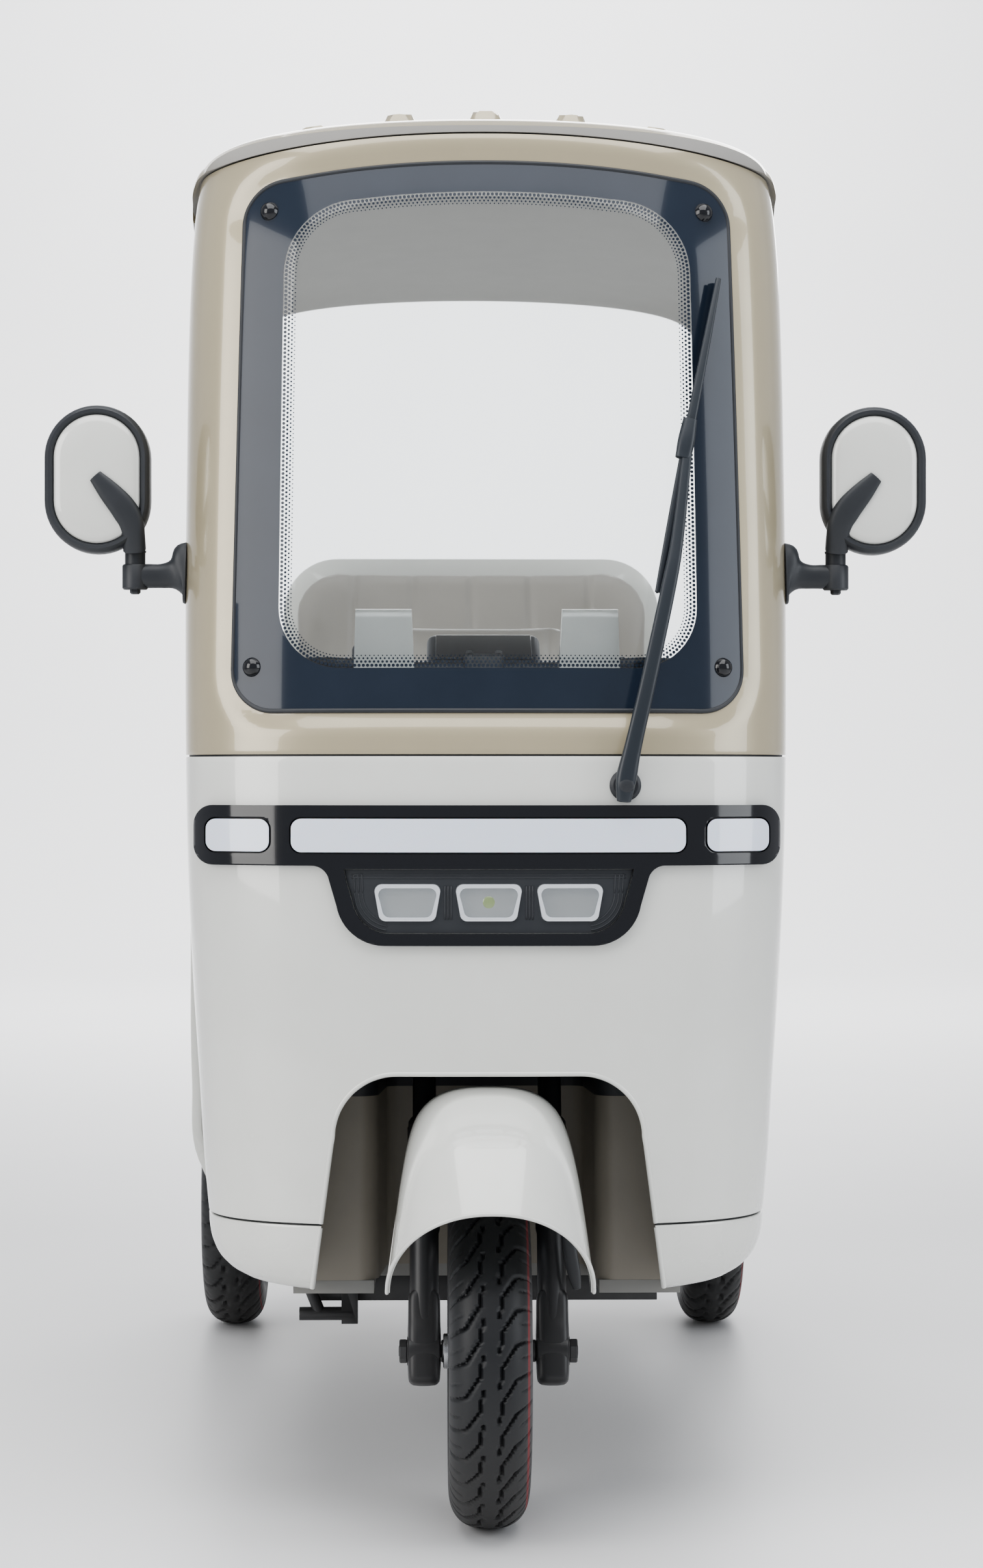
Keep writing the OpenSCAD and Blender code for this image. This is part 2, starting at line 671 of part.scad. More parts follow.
bench_y0 = rear_axle_y - 372;
bench_y1 = rear_axle_y + 60;
bench_base_z = bench_z - 92;
base_z0 = floor_z + 12;
bench_lean = -9;
back_y = bench_y1 + 27;
module bench_base() {
    w = house_x - 6;
    color(cream) difference() {
        translate([-w, bench_y0 + 1, base_z0]) cube([2 * w, bench_y1 - bench_y0, bench_base_z - base_z0]);
        translate([-w + 8, bench_y0 + 9, base_z0 + 8])
            cube([2 * w - 16, bench_y1 - bench_y0 - 16, bench_base_z]);
    }
}

module bench_cushion() {
    color(seat_tan) translate([0, (bench_y0 + bench_y1) / 2 - 10, bench_base_z + eps])
        soft_block(bench_w, bench_y1 - bench_y0 + 10, bench_z - bench_base_z, 26);
}

// Face of the bench's backrest: a broad panel with large round upper corners.
module back_face(grow, t) {
    hull() for (s = [-1, 1]) {
        for (p = [[45, 30, 30], [105, 520, 90]]) translate([s * (bench_w / 2 - p[0]), 0, p[1]])
            rotate([90, 0, 0]) cylinder(r = p[2] + grow, h = t, center = true);
    }
}
module at_bench_back() {
    translate([0, back_y, bench_z - 40]) rotate([bench_lean, 0, 0]) children();
}

module bench_backrest() {
    color(seat_tan) at_bench_back() back_face(0, 56);
}

// Hard shell behind the bench's backrest, carried on two stays from the bench base.
module back_shell() {
    color(cream) union() {
        at_bench_back() translate([0, 28 + 5 + eps, 0]) back_face(8, 10);
        for (s = [-1, 1]) translate([s * 180 - 20, bench_y1 + 1 + eps, 600]) {
            cube([40, 72, 90]);
            translate([0, back_y + 35 - bench_y1, 60]) cube([40, 10, 110]);
        }
    }
}

// Rear pillars from the tub up to the roof, joined by a rail under the roof's end.
module rear_pillars() {
    // Height, distance from the middle and behind the front axle, and depth
    stations = [[918.3, 437, 1640, 190], [1000, 434, 1610, 140], [1200, 428, 1565, 110],
        [1450, 418, 1510, 104], [1620, 408, 1480, 124], [1699.7, 400, 1462, 170]];
    color(gold) for (s = [-1, 1]) loft([for (p = stations)
        let (x = s * p[1], y = front_axle_y + p[2], d = p[3] / 2, w = 12)
        [[x - w, y - d, p[0]], [x + w, y - d, p[0]], [x + w, y + d, p[0]], [x - w, y + d, p[0]]]]);
}

// Running gear at the rear
module battery() {
    color("#30343a") translate([-230, bench_y0 + 40, base_z0 + 8 + eps]) cube([460, 300, 240]);
}

axle_tube_r = 26;
hub_gap = 6;
rear_hub_x = rear_track / 2 - 46;
module rear_axle() {
    color(steel) union() {
        at_wheel(0, rear_axle_y) {
            cylinder(r = axle_tube_r, h = 2 * rear_hub_x - 24, center = true);
            cylinder(r = axle_r + 4, h = rear_track + 60, center = true);
            cylinder(r = 78, h = 96, center = true);
        }
        for (s = [-1, 1]) at_wheel(s * (rear_hub_x - 12), rear_axle_y) cylinder(r = 78, h = 16, center = true);
    }
}

module drive_motor() {
    color("#3b3e42") difference() {
        union() {
            translate([34, rear_axle_y - 146, tyre_r + 6]) rotate([0, 90, 0])
                cylinder(r = 66, h = 150, center = true);
            translate([-8, rear_axle_y - 100, tyre_r - 30]) cube([50, 34, 60]);
        }
        at_wheel(0, rear_axle_y) cylinder(r = 78 + eps, h = 100, center = true);
    }
}

// Leaf springs: four leaves each, clamped over the axle.
module rear_springs() {
    leaf = 6.6;
    color(steel) for (s = [-1, 1]) translate([s * (rail_x + 50 + 4), rear_axle_y, 0]) {
        for (i = [0:3]) let (half = spring_half + 12 - i * 62)
            translate([-25, -half, spring_z - leaf * (i + 1)]) cube([50, 2 * half, leaf]);
        translate([-25, -42, tyre_r + axle_tube_r + eps])
            cube([50, 84, spring_z - tyre_r - axle_tube_r - 26]);
    }
}

// Foot brake: hanger, pivot and bent lever beside the wheel's recess.
module brake_pedal() {
    x = -182;
    y = front_axle_y + 308;
    color(black) union() {
        translate([x - 11, y - 8, 205]) cube([22, 16, floor_z - 17 - eps - 205]);
        translate([x - 68, y, 218]) rotate([0, 90, 0]) cylinder(r = 9, h = 72);
        tube_between([x - 40, y, 218], [x - 58, y - 6, 264], 8);
    }
}

// Fork, handlebar and mudguard, which steer together
crown_s = 446;
module fork() {
    color(black) difference() {
        union() {
            for (s = [-1, 1]) {
                on_leg(s, -34) cylinder(r = fork_leg_r, h = 334);
                on_leg(s, 298) cylinder(r = fork_tube_r, h = crown_s - 298);
                at_wheel(s * fork_half_w, front_axle_y) cylinder(r = 21, h = 42, center = true);
            }
            on_steering_axis(crown_s - 16) linear_extrude(30) hull() {
                circle(r = 26);
                for (s = [-1, 1]) translate([s * fork_half_w, -fork_offset]) circle(r = 20);
            }
            on_steering_axis(crown_s) cylinder(r = stem_r, h = bar_reach - 20 - crown_s);
        }
        translate([-150, front_axle_y, tyre_r]) rotate([0, 90, 0]) cylinder(r = axle_r + 0.05, h = 300);
    }
}

module handlebar() {
    grip = 125;
    color(black) on_steering_axis(bar_reach) union() {
        rotate([0, 90, 0]) cylinder(r = 11, h = bar_len - 2 * grip + 20, center = true);
        translate([0, 0, -19.7]) cylinder(r = 21, h = 30);
        for (s = [-1, 1]) {
            translate([s * (bar_len - grip) / 2, 0, 0]) rotate([0, 90, 0])
                cylinder(r = 16.5, h = grip, center = true);
            translate([s * (bar_len / 2 - grip - 30), 0, 0]) cube([50, 46, 62], center = true);
            translate([s * (bar_len / 2 - grip - 26), -28, -4]) rotate([0, s * 84, 0])
                translate([0, 0, -8]) cylinder(r = 6, h = 165);
        }
    }
}

// Mudguard by angle around the wheel, from the front: angle, radius, half width, side depth,
// roundness of the section, and how far the middle of the section leans on.
guard_table = [[34, 334.6, 126, 164, 0.92, 4], [48, 335, 120, 150, 0.86, 2], [62, 336, 114, 134, 0.8, 0],
    [78, 335, 107, 115, 0.76, 0], [94, 333, 101, 98, 0.74, 0], [108, 326, 98, 86, 0.74, 0],
    [122, 318, 95, 76, 0.74, 0]];
function guard_row(s, inset, n = 20) = [for (i = [0:n]) let (a = 180 * i / n, w = s[2] - inset,
    r = s[1] - inset - (s[3] - inset) * (1 - pow(sin(a), s[4])), turned = s[0] + s[5] * sin(a))
    [w * sign(cos(a)) * pow(abs(cos(a)), s[4]), front_axle_y - r * cos(turned), tyre_r + r * sin(turned)]];
module mudguard() {
    color(cream) difference() {
        slab([for (s = guard_table) guard_row(s, 0)], [for (s = guard_table) guard_row(s, 4)]);
        for (s = [-1, 1]) on_leg(s, 100) cylinder(r = fork_leg_r + eps, h = 260);
    }
}

module front_axle() {
    color(silver) union() {
        translate([-113, front_axle_y, tyre_r]) rotate([0, 90, 0]) cylinder(r = axle_r, h = 226);
        for (s = [-1, 1]) {
            at_wheel(s * 107.3, front_axle_y) cylinder(r = 14, h = 10, center = true, $fn = 6);
            at_wheel(s * 54.4, front_axle_y) cylinder(r = 14, h = 10.6, center = true);
        }
    }
}

// Wheels
module at_wheel(x, y) {
    translate([x, y, tyre_r]) rotate([0, 90, 0]) children();
}
bead_r = rim_d / 2;
module tyre() {
    w = tyre_w / 2;
    bead_w = rim_w / 2 - 3 - eps;
    rotate_extrude() polygon(concat([[bead_r, -bead_w], [bead_r + 9 + eps, -bead_w]],
        [for (i = [0:14]) let (a = 180 * i / 14) [tyre_r - 58 + 58 * pow(sin(a), 0.72),
            -w * sign(cos(a)) * pow(abs(cos(a)), 0.8)]],
        [[bead_r + 9 + eps, bead_w], [bead_r, bead_w]]));
}
module rim(bore, hub_w) {
    f = rim_w / 2;
    difference() {
        union() {
            rotate_extrude() polygon([[bead_r - eps, -f + 3], [bead_r + 9, -f + 3], [bead_r + 9, -f],
                [bead_r - 12, -f], [bead_r - 26, -f + 14], [bead_r - 26, f - 14], [bead_r - 12, f], [bead_r + 9, f],
                [bead_r + 9, f - 3], [bead_r - eps, f - 3], [bead_r - 6, f - 8], [bead_r - 20, f - 18],
                [bead_r - 20, -f + 18], [bead_r - 6, -f + 8]]);
            cylinder(r = 46, h = hub_w, center = true);
            for (i = [0:spoke_count - 1]) rotate([0, 0, 360 / spoke_count * i])
                translate([40, -9, -9]) cube([bead_r - 63, 18, 18]);
        }
        cylinder(r = bore, h = hub_w + 2, center = true);
    }
}

module front_tyre() {
    color(black) at_wheel(0, front_axle_y) tyre();
}
module front_rim() {
    color(silver) at_wheel(0, front_axle_y) rim(axle_r + 0.05, 96);
}
module rear_tyre(side) {
    color(black) at_wheel(side * rear_track / 2, rear_axle_y) tyre();
}
module rear_rim(side) {
    color(silver) at_wheel(side * rear_track / 2, rear_axle_y) rim(axle_r + 4.05, 56);
}

frame();
head_tube();
front_panel();
front_skirt();
windscreen_frame();
windscreen();
roof();
wheel_well();
lamp_bezel();
light_bar();
turn_lamps();
headlamp_tray();
headlamps();
screen_caps();
wiper();
mirror_arms();
mirror_left();
mirror_right();
dashboard();
floor_pan();
seat_box();
driver_cushion();
driver_backrest();
seat_plate();
rear_body();
bench_base();
bench_cushion();
bench_backrest();
back_shell();
rear_pillars();
battery();
rear_axle();
rear_springs();
drive_motor();
brake_pedal();
fork();
handlebar();
mudguard();
front_axle();
front_tyre();
front_rim();
rear_tyre(1);  // rear_tyre_left
rear_rim(1);  // rear_rim_left
rear_tyre(-1);  // rear_tyre_right
rear_rim(-1);  // rear_rim_right
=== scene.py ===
import math
import bpy
import numpy as np
from mathutils import Matrix, Vector


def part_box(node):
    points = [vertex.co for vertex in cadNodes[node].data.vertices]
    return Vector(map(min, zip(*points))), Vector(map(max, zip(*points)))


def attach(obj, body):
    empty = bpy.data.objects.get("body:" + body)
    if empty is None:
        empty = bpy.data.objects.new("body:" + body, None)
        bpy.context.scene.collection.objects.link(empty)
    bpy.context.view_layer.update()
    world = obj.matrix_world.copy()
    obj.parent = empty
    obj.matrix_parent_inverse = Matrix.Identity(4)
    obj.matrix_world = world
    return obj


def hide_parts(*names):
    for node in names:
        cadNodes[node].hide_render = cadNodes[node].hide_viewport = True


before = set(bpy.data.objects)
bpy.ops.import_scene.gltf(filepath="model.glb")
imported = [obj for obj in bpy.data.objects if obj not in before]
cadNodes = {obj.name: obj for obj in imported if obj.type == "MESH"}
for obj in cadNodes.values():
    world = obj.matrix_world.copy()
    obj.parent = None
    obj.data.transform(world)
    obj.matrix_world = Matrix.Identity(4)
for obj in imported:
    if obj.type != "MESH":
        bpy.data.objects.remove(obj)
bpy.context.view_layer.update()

# Sizes are in millimetres. "behind" counts back from the front axle.
frontLow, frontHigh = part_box("front_tyre")
rearLow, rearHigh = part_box("rear_tyre_left")
frontAxleY = 500 * (frontLow.y + frontHigh.y)
rearAxleY = 500 * (rearLow.y + rearHigh.y)
rearWheelX = 500 * (rearLow.x + rearHigh.x)
tyreRadius = 500 * frontHigh.z
tyreHalf = 500 * (frontHigh.x - frontLow.x)
rake = math.radians(20)
forkOffset = 34


# Editing helpers
def clearSelection():
    bpy.ops.object.select_all(action="DESELECT")


def pick(*pieces):
    clearSelection()
    for piece in pieces:
        piece.select_set(True)
    bpy.context.view_layer.objects.active = pieces[0]


def readSpots(mesh):
    spots = np.empty(len(mesh.vertices) * 3, np.float64)
    mesh.vertices.foreach_get("co", spots)
    return spots.reshape(-1, 3)


def writeSpots(mesh, spots):
    mesh.vertices.foreach_set("co", np.ascontiguousarray(spots, np.float32).ravel())
    mesh.update()


def applied(piece, kind, **values):
    pick(piece)
    modifier = piece.modifiers.new(kind, kind)
    for key, value in values.items():
        setattr(modifier, key, value)
    bpy.ops.object.modifier_apply(modifier=modifier.name)
    return piece


def weld(piece, distance=0.01):
    pick(piece)
    bpy.ops.object.mode_set(mode="EDIT")
    bpy.ops.mesh.select_all(action="SELECT")
    bpy.ops.mesh.remove_doubles(threshold=distance / 1000)
    bpy.ops.mesh.normals_make_consistent(inside=False)
    bpy.ops.object.mode_set(mode="OBJECT")
    return piece


def capped(piece):
    pick(piece)
    bpy.ops.object.mode_set(mode="EDIT")
    bpy.ops.mesh.select_mode(type="EDGE")
    bpy.ops.mesh.select_all(action="DESELECT")
    bpy.ops.mesh.select_non_manifold()
    bpy.ops.mesh.fill_holes(sides=0)
    bpy.ops.mesh.select_all(action="SELECT")
    bpy.ops.mesh.normals_make_consistent(inside=False)
    bpy.ops.object.mode_set(mode="OBJECT")
    return piece


def smoothed(piece, angle=35):
    pick(piece)
    bpy.ops.object.shade_smooth_by_angle(angle=math.radians(angle))
    return piece


def joined(name, pieces):
    pick(*pieces)
    if len(pieces) > 1:
        bpy.ops.object.join()
    pieces[0].name = name
    return pieces[0]


def moved(piece, matrix):
    piece.data.transform(matrix)
    return piece


def shift(x, y, z):
    return Matrix.Translation((x / 1000, y / 1000, z / 1000))


def turn(degrees, axis):
    return Matrix.Rotation(math.radians(degrees), 4, axis)


def cut(piece, cutter, operation="DIFFERENCE"):
    applied(piece, "BOOLEAN", object=cutter, operation=operation, solver="EXACT")
    bpy.data.objects.remove(cutter, do_unlink=True)
    return piece


def rounded(piece, width, segments=2, angle=50, clamp=True):
    return applied(piece, "BEVEL", width=width / 1000, segments=segments, limit_method="ANGLE",
                   angle_limit=math.radians(angle), use_clamp_overlap=clamp)


def finished(piece, body, slotName, material, *stands):
    piece.data.materials.clear()
    for item in material if isinstance(material, (list, tuple)) else [material]:
        piece.data.materials.append(item)
    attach(piece, body)
    if stands:
        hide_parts(*stands)
    return piece


# Basic forms
def gridPiece(name, columns, rows, place):
    clearSelection()
    bpy.ops.mesh.primitive_grid_add(x_subdivisions=columns, y_subdivisions=rows, size=1)
    piece = bpy.context.object
    piece.name = name
    spots = readSpots(piece.data)
    u = np.clip(spots[:, 0] + 0.5, 0, 1)
    v = np.clip(spots[:, 1] + 0.5, 0, 1)
    x, y, z = place(u, v)
    writeSpots(piece.data, np.column_stack(np.broadcast_arrays(x, y, z)) / 1000)
    return piece


def prismPiece(name, outline, start, end, axis="Y"):
    clearSelection()
    flat = np.array(outline, float)
    bpy.ops.mesh.primitive_circle_add(vertices=len(flat), radius=1, fill_type="NGON")
    piece = bpy.context.object
    piece.name = name
    level = np.full(len(flat), float(start))
    order = {"X": (level, flat[:, 0], flat[:, 1]), "Y": (flat[:, 0], level, flat[:, 1]),
             "Z": (flat[:, 0], flat[:, 1], level)}
    writeSpots(piece.data, np.column_stack(order[axis]) / 1000)
    step = [(end - start) / 1000 if axis == letter else 0 for letter in "XYZ"]
    bpy.ops.object.mode_set(mode="EDIT")
    bpy.ops.mesh.select_all(action="SELECT")
    bpy.ops.mesh.extrude_region_move(TRANSFORM_OT_translate={"value": step})
    bpy.ops.mesh.select_all(action="SELECT")
    bpy.ops.mesh.normals_make_consistent(inside=False)
    bpy.ops.object.mode_set(mode="OBJECT")
    return piece


def lathePiece(name, profile, matrix, columns=48):
    steps = np.array(profile, float)

    def place(u, v):
        index = np.rint(v * (len(steps) - 1)).astype(int)
        angle = 2 * np.pi * u
        return steps[index, 0] * np.cos(angle), steps[index, 0] * np.sin(angle), steps[index, 1]

    return moved(weld(gridPiece(name, columns, len(steps) - 1, place)), matrix)


def loftPiece(name, rings):
    table = np.array(rings, float)
    rows, columns = len(table) - 1, len(table[0])

    def place(u, v):
        row = np.rint(v * rows).astype(int)
        column = np.rint(u * columns).astype(int) % columns
        return tuple(table[row, column].T)

    return capped(weld(gridPiece(name, columns, rows, place)))


def boxPiece(name, size, centre, edge=2, matrix=None, segments=2):
    clearSelection()
    bpy.ops.mesh.primitive_cube_add(size=1)
    piece = bpy.context.object
    piece.name = name
    writeSpots(piece.data, readSpots(piece.data) * np.array(size, float) / 1000)
    if edge:
        rounded(piece, edge, segments)
    return moved(piece, shift(*centre) @ (matrix or Matrix.Identity(4)))


def tubePiece(name, points, radius, closed=False, smooth=True, resolution=3):
    curve = bpy.data.curves.new(name, "CURVE")
    curve.dimensions = "3D"
    spline = curve.splines.new("BEZIER")
    spline.bezier_points.add(len(points) - 1)
    for knot, spot in zip(spline.bezier_points, points):
        knot.co = [value / 1000 for value in spot]
        knot.handle_left_type = "AUTO" if smooth else "VECTOR"
        knot.handle_right_type = "AUTO" if smooth else "VECTOR"
    spline.use_cyclic_u = closed
    curve.resolution_u = 6 if smooth else 1
    curve.bevel_depth = radius / 1000
    curve.bevel_resolution = resolution
    curve.use_fill_caps = True
    piece = bpy.data.objects.new(name, curve)
    bpy.context.scene.collection.objects.link(piece)
    pick(piece)
    bpy.ops.object.convert(target="MESH")
    return weld(bpy.context.object, 0.005)


# Outlines in the XZ plane
def arc(cx, cz, radius, start, end, steps=12):
    angles = np.radians(np.linspace(start, end, steps + 1))
    return [(cx + radius * math.cos(a), cz + radius * math.sin(a)) for a in angles]


def archedOutline(low, high, z0, z1, r0, r1, sag):
    top = z1 - sag * ((high - r1) / high) ** 2 - r1
    crown = [(high - r1) * (1 - i / 12) for i in range(1, 24)]
    return (arc(low - r0, z0 + r0, r0, -90, 0) + arc(high - r1, top, r1, 0, 84)
            + [(x, z1 - sag * (x / high) ** 2) for x in crown]
            + arc(r1 - high, top, r1, 96, 180) + arc(r0 - low, z0 + r0, r0, 180, 270))


def pillOutline(x, z, width, height, radius):
    w = width / 2 - radius
    h = height / 2 - radius
    return (arc(x + w, z - h, radius, -90, 0, 8) + arc(x + w, z + h, radius, 0, 90, 8)
            + arc(x - w, z + h, radius, 90, 180, 8) + arc(x - w, z - h, radius, 180, 270, 8))


def outlineDistance(outline, x, z):
    points = np.array(outline, float)
    ends = np.roll(points, -1, axis=0)
    spots = np.column_stack([x, z])
    best = np.full(len(spots), 1e9)
    inside = np.zeros(len(spots), bool)
    for a, b in zip(points, ends):
        edge = b - a
        share = np.clip(((spots - a) @ edge) / max(edge @ edge, 1e-9), 0, 1)
        best = np.minimum(best, np.linalg.norm(spots - a - share[:, None] * edge, axis=1))
        crossing = (a[1] > spots[:, 1]) != (b[1] > spots[:, 1])
        reach = a[0] + (spots[:, 1] - a[1]) * edge[0] / (edge[1] if edge[1] else 1e-9)
        inside ^= crossing & (spots[:, 0] < reach)
    return np.where(inside, -best, best)


def spacedAlong(outline, gap):
    loop = np.array(outline + outline[:1], float)
    lengths = np.concatenate([[0], np.cumsum(np.linalg.norm(np.diff(loop, axis=0), axis=1))])
    count = max(3, int(lengths[-1] / gap))
    at = np.arange(count) * lengths[-1] / count
    spots = np.column_stack([np.interp(at, lengths, loop[:, 0]), np.interp(at, lengths, loop[:, 1])])
    course = np.roll(spots, -1, axis=0) - np.roll(spots, 1, axis=0)
    course /= np.linalg.norm(course, axis=1)[:, None]
    return spots, np.column_stack([-course[:, 1], course[:, 0]])   # inward, for an anticlockwise outline


# The cab's surface
cab = {
    "levels": [(290, 353, -12), (378, 363, -20), (450, 369, -25), (550, 375, -28), (690, 384, -28),
               (840, 391, -24), (970, 394, -17), (1100, 395.5, -6), (1230, 396, 8), (1350, 395.5, 22),
               (1470, 395, 38), (1580, 393, 55), (1650, 390, 67), (1700, 386, 78), (1760, 377, 94), (1790, 371, 102)],
    "depth": 220, "square": 2.8, "sideShare": 0.17,
    "skirtZ": 378, "waistZ": 970, "seam": 2.4, "wall": 18, "cowlBehind": 385,
}
cowlY = frontAxleY + cab["cowlBehind"]


def along(table, column, at):
    xs = np.array([row[0] for row in table], float)
    ys = np.array([row[column] for row in table], float)
    slopes = np.gradient(ys, xs)
    at = np.asarray(at, float)
    index = np.clip(np.searchsorted(xs, at) - 1, 0, len(xs) - 2)
    span = xs[index + 1] - xs[index]
    t = np.clip((at - xs[index]) / span, 0, 1)
    return (ys[index] * (1 + 2 * t) * (1 - t) ** 2 + ys[index + 1] * t * t * (3 - 2 * t)
            + span * (slopes[index] * t * (1 - t) ** 2 - slopes[index + 1] * t * t * (1 - t)))


def evenAngles(width, depth, square):
    angles = np.radians(np.linspace(0, 180, 6001))
    x = width * np.sign(np.cos(angles)) * np.abs(np.cos(angles)) ** (2 / square)
    y = depth * np.abs(np.sin(angles)) ** (2 / square)
    length = np.concatenate([[0], np.cumsum(np.hypot(np.diff(x), np.diff(y)))])
    return lambda share: np.interp(share * length[-1], length, angles)


cabAngle = evenAngles(388, cab["depth"], cab["square"])


def cabSpot(u, z, inset, rear, levels=None):
    share = cab["sideShare"]
    levels = levels or cab["levels"]
    width = along(levels, 1, z) - inset
    middle = frontAxleY + along(levels, 2, z) + cab["depth"]
    angle = np.pi - cabAngle(np.clip((u - share) / (1 - 2 * share), 0, 1))
    power = 2 / cab["square"]
    x = width * np.sign(np.cos(angle)) * np.abs(np.cos(angle)) ** power
    y = middle - (cab["depth"] - inset) * np.abs(np.sin(angle)) ** power
    side = np.clip(np.maximum(share - u, u - 1 + share) / share, 0, 1)
    return x, y + side * (rear - middle), z


def faceY(x, z, inset=0):
    width = along(cab["levels"], 1, z) - inset
    flat = np.clip(np.abs(x) / width, 0, 1)
    bulge = (1 - flat ** cab["square"]) ** (1 / cab["square"])
    return frontAxleY + along(cab["levels"], 2, z) + cab["depth"] - (cab["depth"] - inset) * bulge


def toFront(name, outline):
    return prismPiece(name, outline, frontAxleY - 200, frontAxleY + 215)


# Material helpers
def socketGroup(name, inputs, outputs):
    group = bpy.data.node_groups.new(name, "ShaderNodeTree")
    for label, kind, value in inputs:
        socket = group.interface.new_socket(label, in_out="INPUT", socket_type=kind)
        socket.default_value = value
    for label, kind in outputs:
        group.interface.new_socket(label, in_out="OUTPUT", socket_type=kind)
    return group, group.nodes.new("NodeGroupInput"), group.nodes.new("NodeGroupOutput")


def addNode(tree, kind, **values):
    node = tree.nodes.new(kind)
    for key, value in values.items():
        if key in node.inputs.keys() or key.replace("_", " ") in node.inputs.keys():
            node.inputs[key.replace("_", " ")].default_value = value
        else:
            setattr(node, key, value)
    return node


def mathNode(tree, operation, first, second=None, clamp=False):
    node = tree.nodes.new("ShaderNodeMath")
    node.operation = operation
    node.use_clamp = clamp
    for socket, value in zip(node.inputs, (first, second)):
        if value is None:
            continue
        if hasattr(value, "is_output"):
            tree.links.new(value, socket)
        else:
            socket.default_value = value
    return node.outputs[0]


def buildGrain():
    group, source, sink = socketGroup(
        "fineGrain", [("Scale", "NodeSocketFloat", 400), ("Detail", "NodeSocketFloat", 3)],
        [("Height", "NodeSocketFloat"), ("Tone", "NodeSocketFloat")])
    place = group.nodes.new("ShaderNodeTexCoord")
    for label, factor in (("Height", 1), ("Tone", 0.02)):
        noise = group.nodes.new("ShaderNodeTexNoise")
        group.links.new(place.outputs["Object"], noise.inputs["Vector"])
        group.links.new(mathNode(group, "MULTIPLY", source.outputs["Scale"], factor), noise.inputs["Scale"])
        group.links.new(source.outputs["Detail"], noise.inputs["Detail"])
        group.links.new(noise.outputs["Fac"], sink.inputs[label])
    return group


def buildRoadDust():
    group, source, sink = socketGroup(
        "roadDust", [("Top", "NodeSocketFloat", 0.5), ("Amount", "NodeSocketFloat", 0.3)],
        [("Mask", "NodeSocketFloat")])
    place = group.nodes.new("ShaderNodeTexCoord")
    split = group.nodes.new("ShaderNodeSeparateXYZ")
    group.links.new(place.outputs["Object"], split.inputs[0])
    fall = mathNode(group, "SUBTRACT", 1, mathNode(group, "DIVIDE", split.outputs["Z"], source.outputs["Top"]), True)
    noise = group.nodes.new("ShaderNodeTexNoise")
    noise.inputs["Scale"].default_value = 14
    noise.inputs["Detail"].default_value = 6
    group.links.new(place.outputs["Object"], noise.inputs["Vector"])
    patch = mathNode(group, "MULTIPLY", fall, noise.outputs["Fac"])
    group.links.new(mathNode(group, "MULTIPLY", patch, source.outputs["Amount"], True), sink.inputs["Mask"])
    return group


def buildEdgeWear():
    group, source, sink = socketGroup(
        "edgeWear", [("Amount", "NodeSocketFloat", 0.5), ("Scale", "NodeSocketFloat", 60)],
        [("Mask", "NodeSocketFloat")])
    shape = group.nodes.new("ShaderNodeNewGeometry")
    place = group.nodes.new("ShaderNodeTexCoord")
    noise = group.nodes.new("ShaderNodeTexNoise")
    group.links.new(place.outputs["Object"], noise.inputs["Vector"])
    group.links.new(source.outputs["Scale"], noise.inputs["Scale"])
    sharp = mathNode(group, "MULTIPLY", mathNode(group, "SUBTRACT", shape.outputs["Pointiness"], 0.52), 12, True)
    worn = mathNode(group, "MULTIPLY", sharp, noise.outputs["Fac"])
    group.links.new(mathNode(group, "MULTIPLY", worn, source.outputs["Amount"], True), sink.inputs["Mask"])
    return group


grainGroup = buildGrain()
dustGroup = buildRoadDust()
wearGroup = buildEdgeWear()


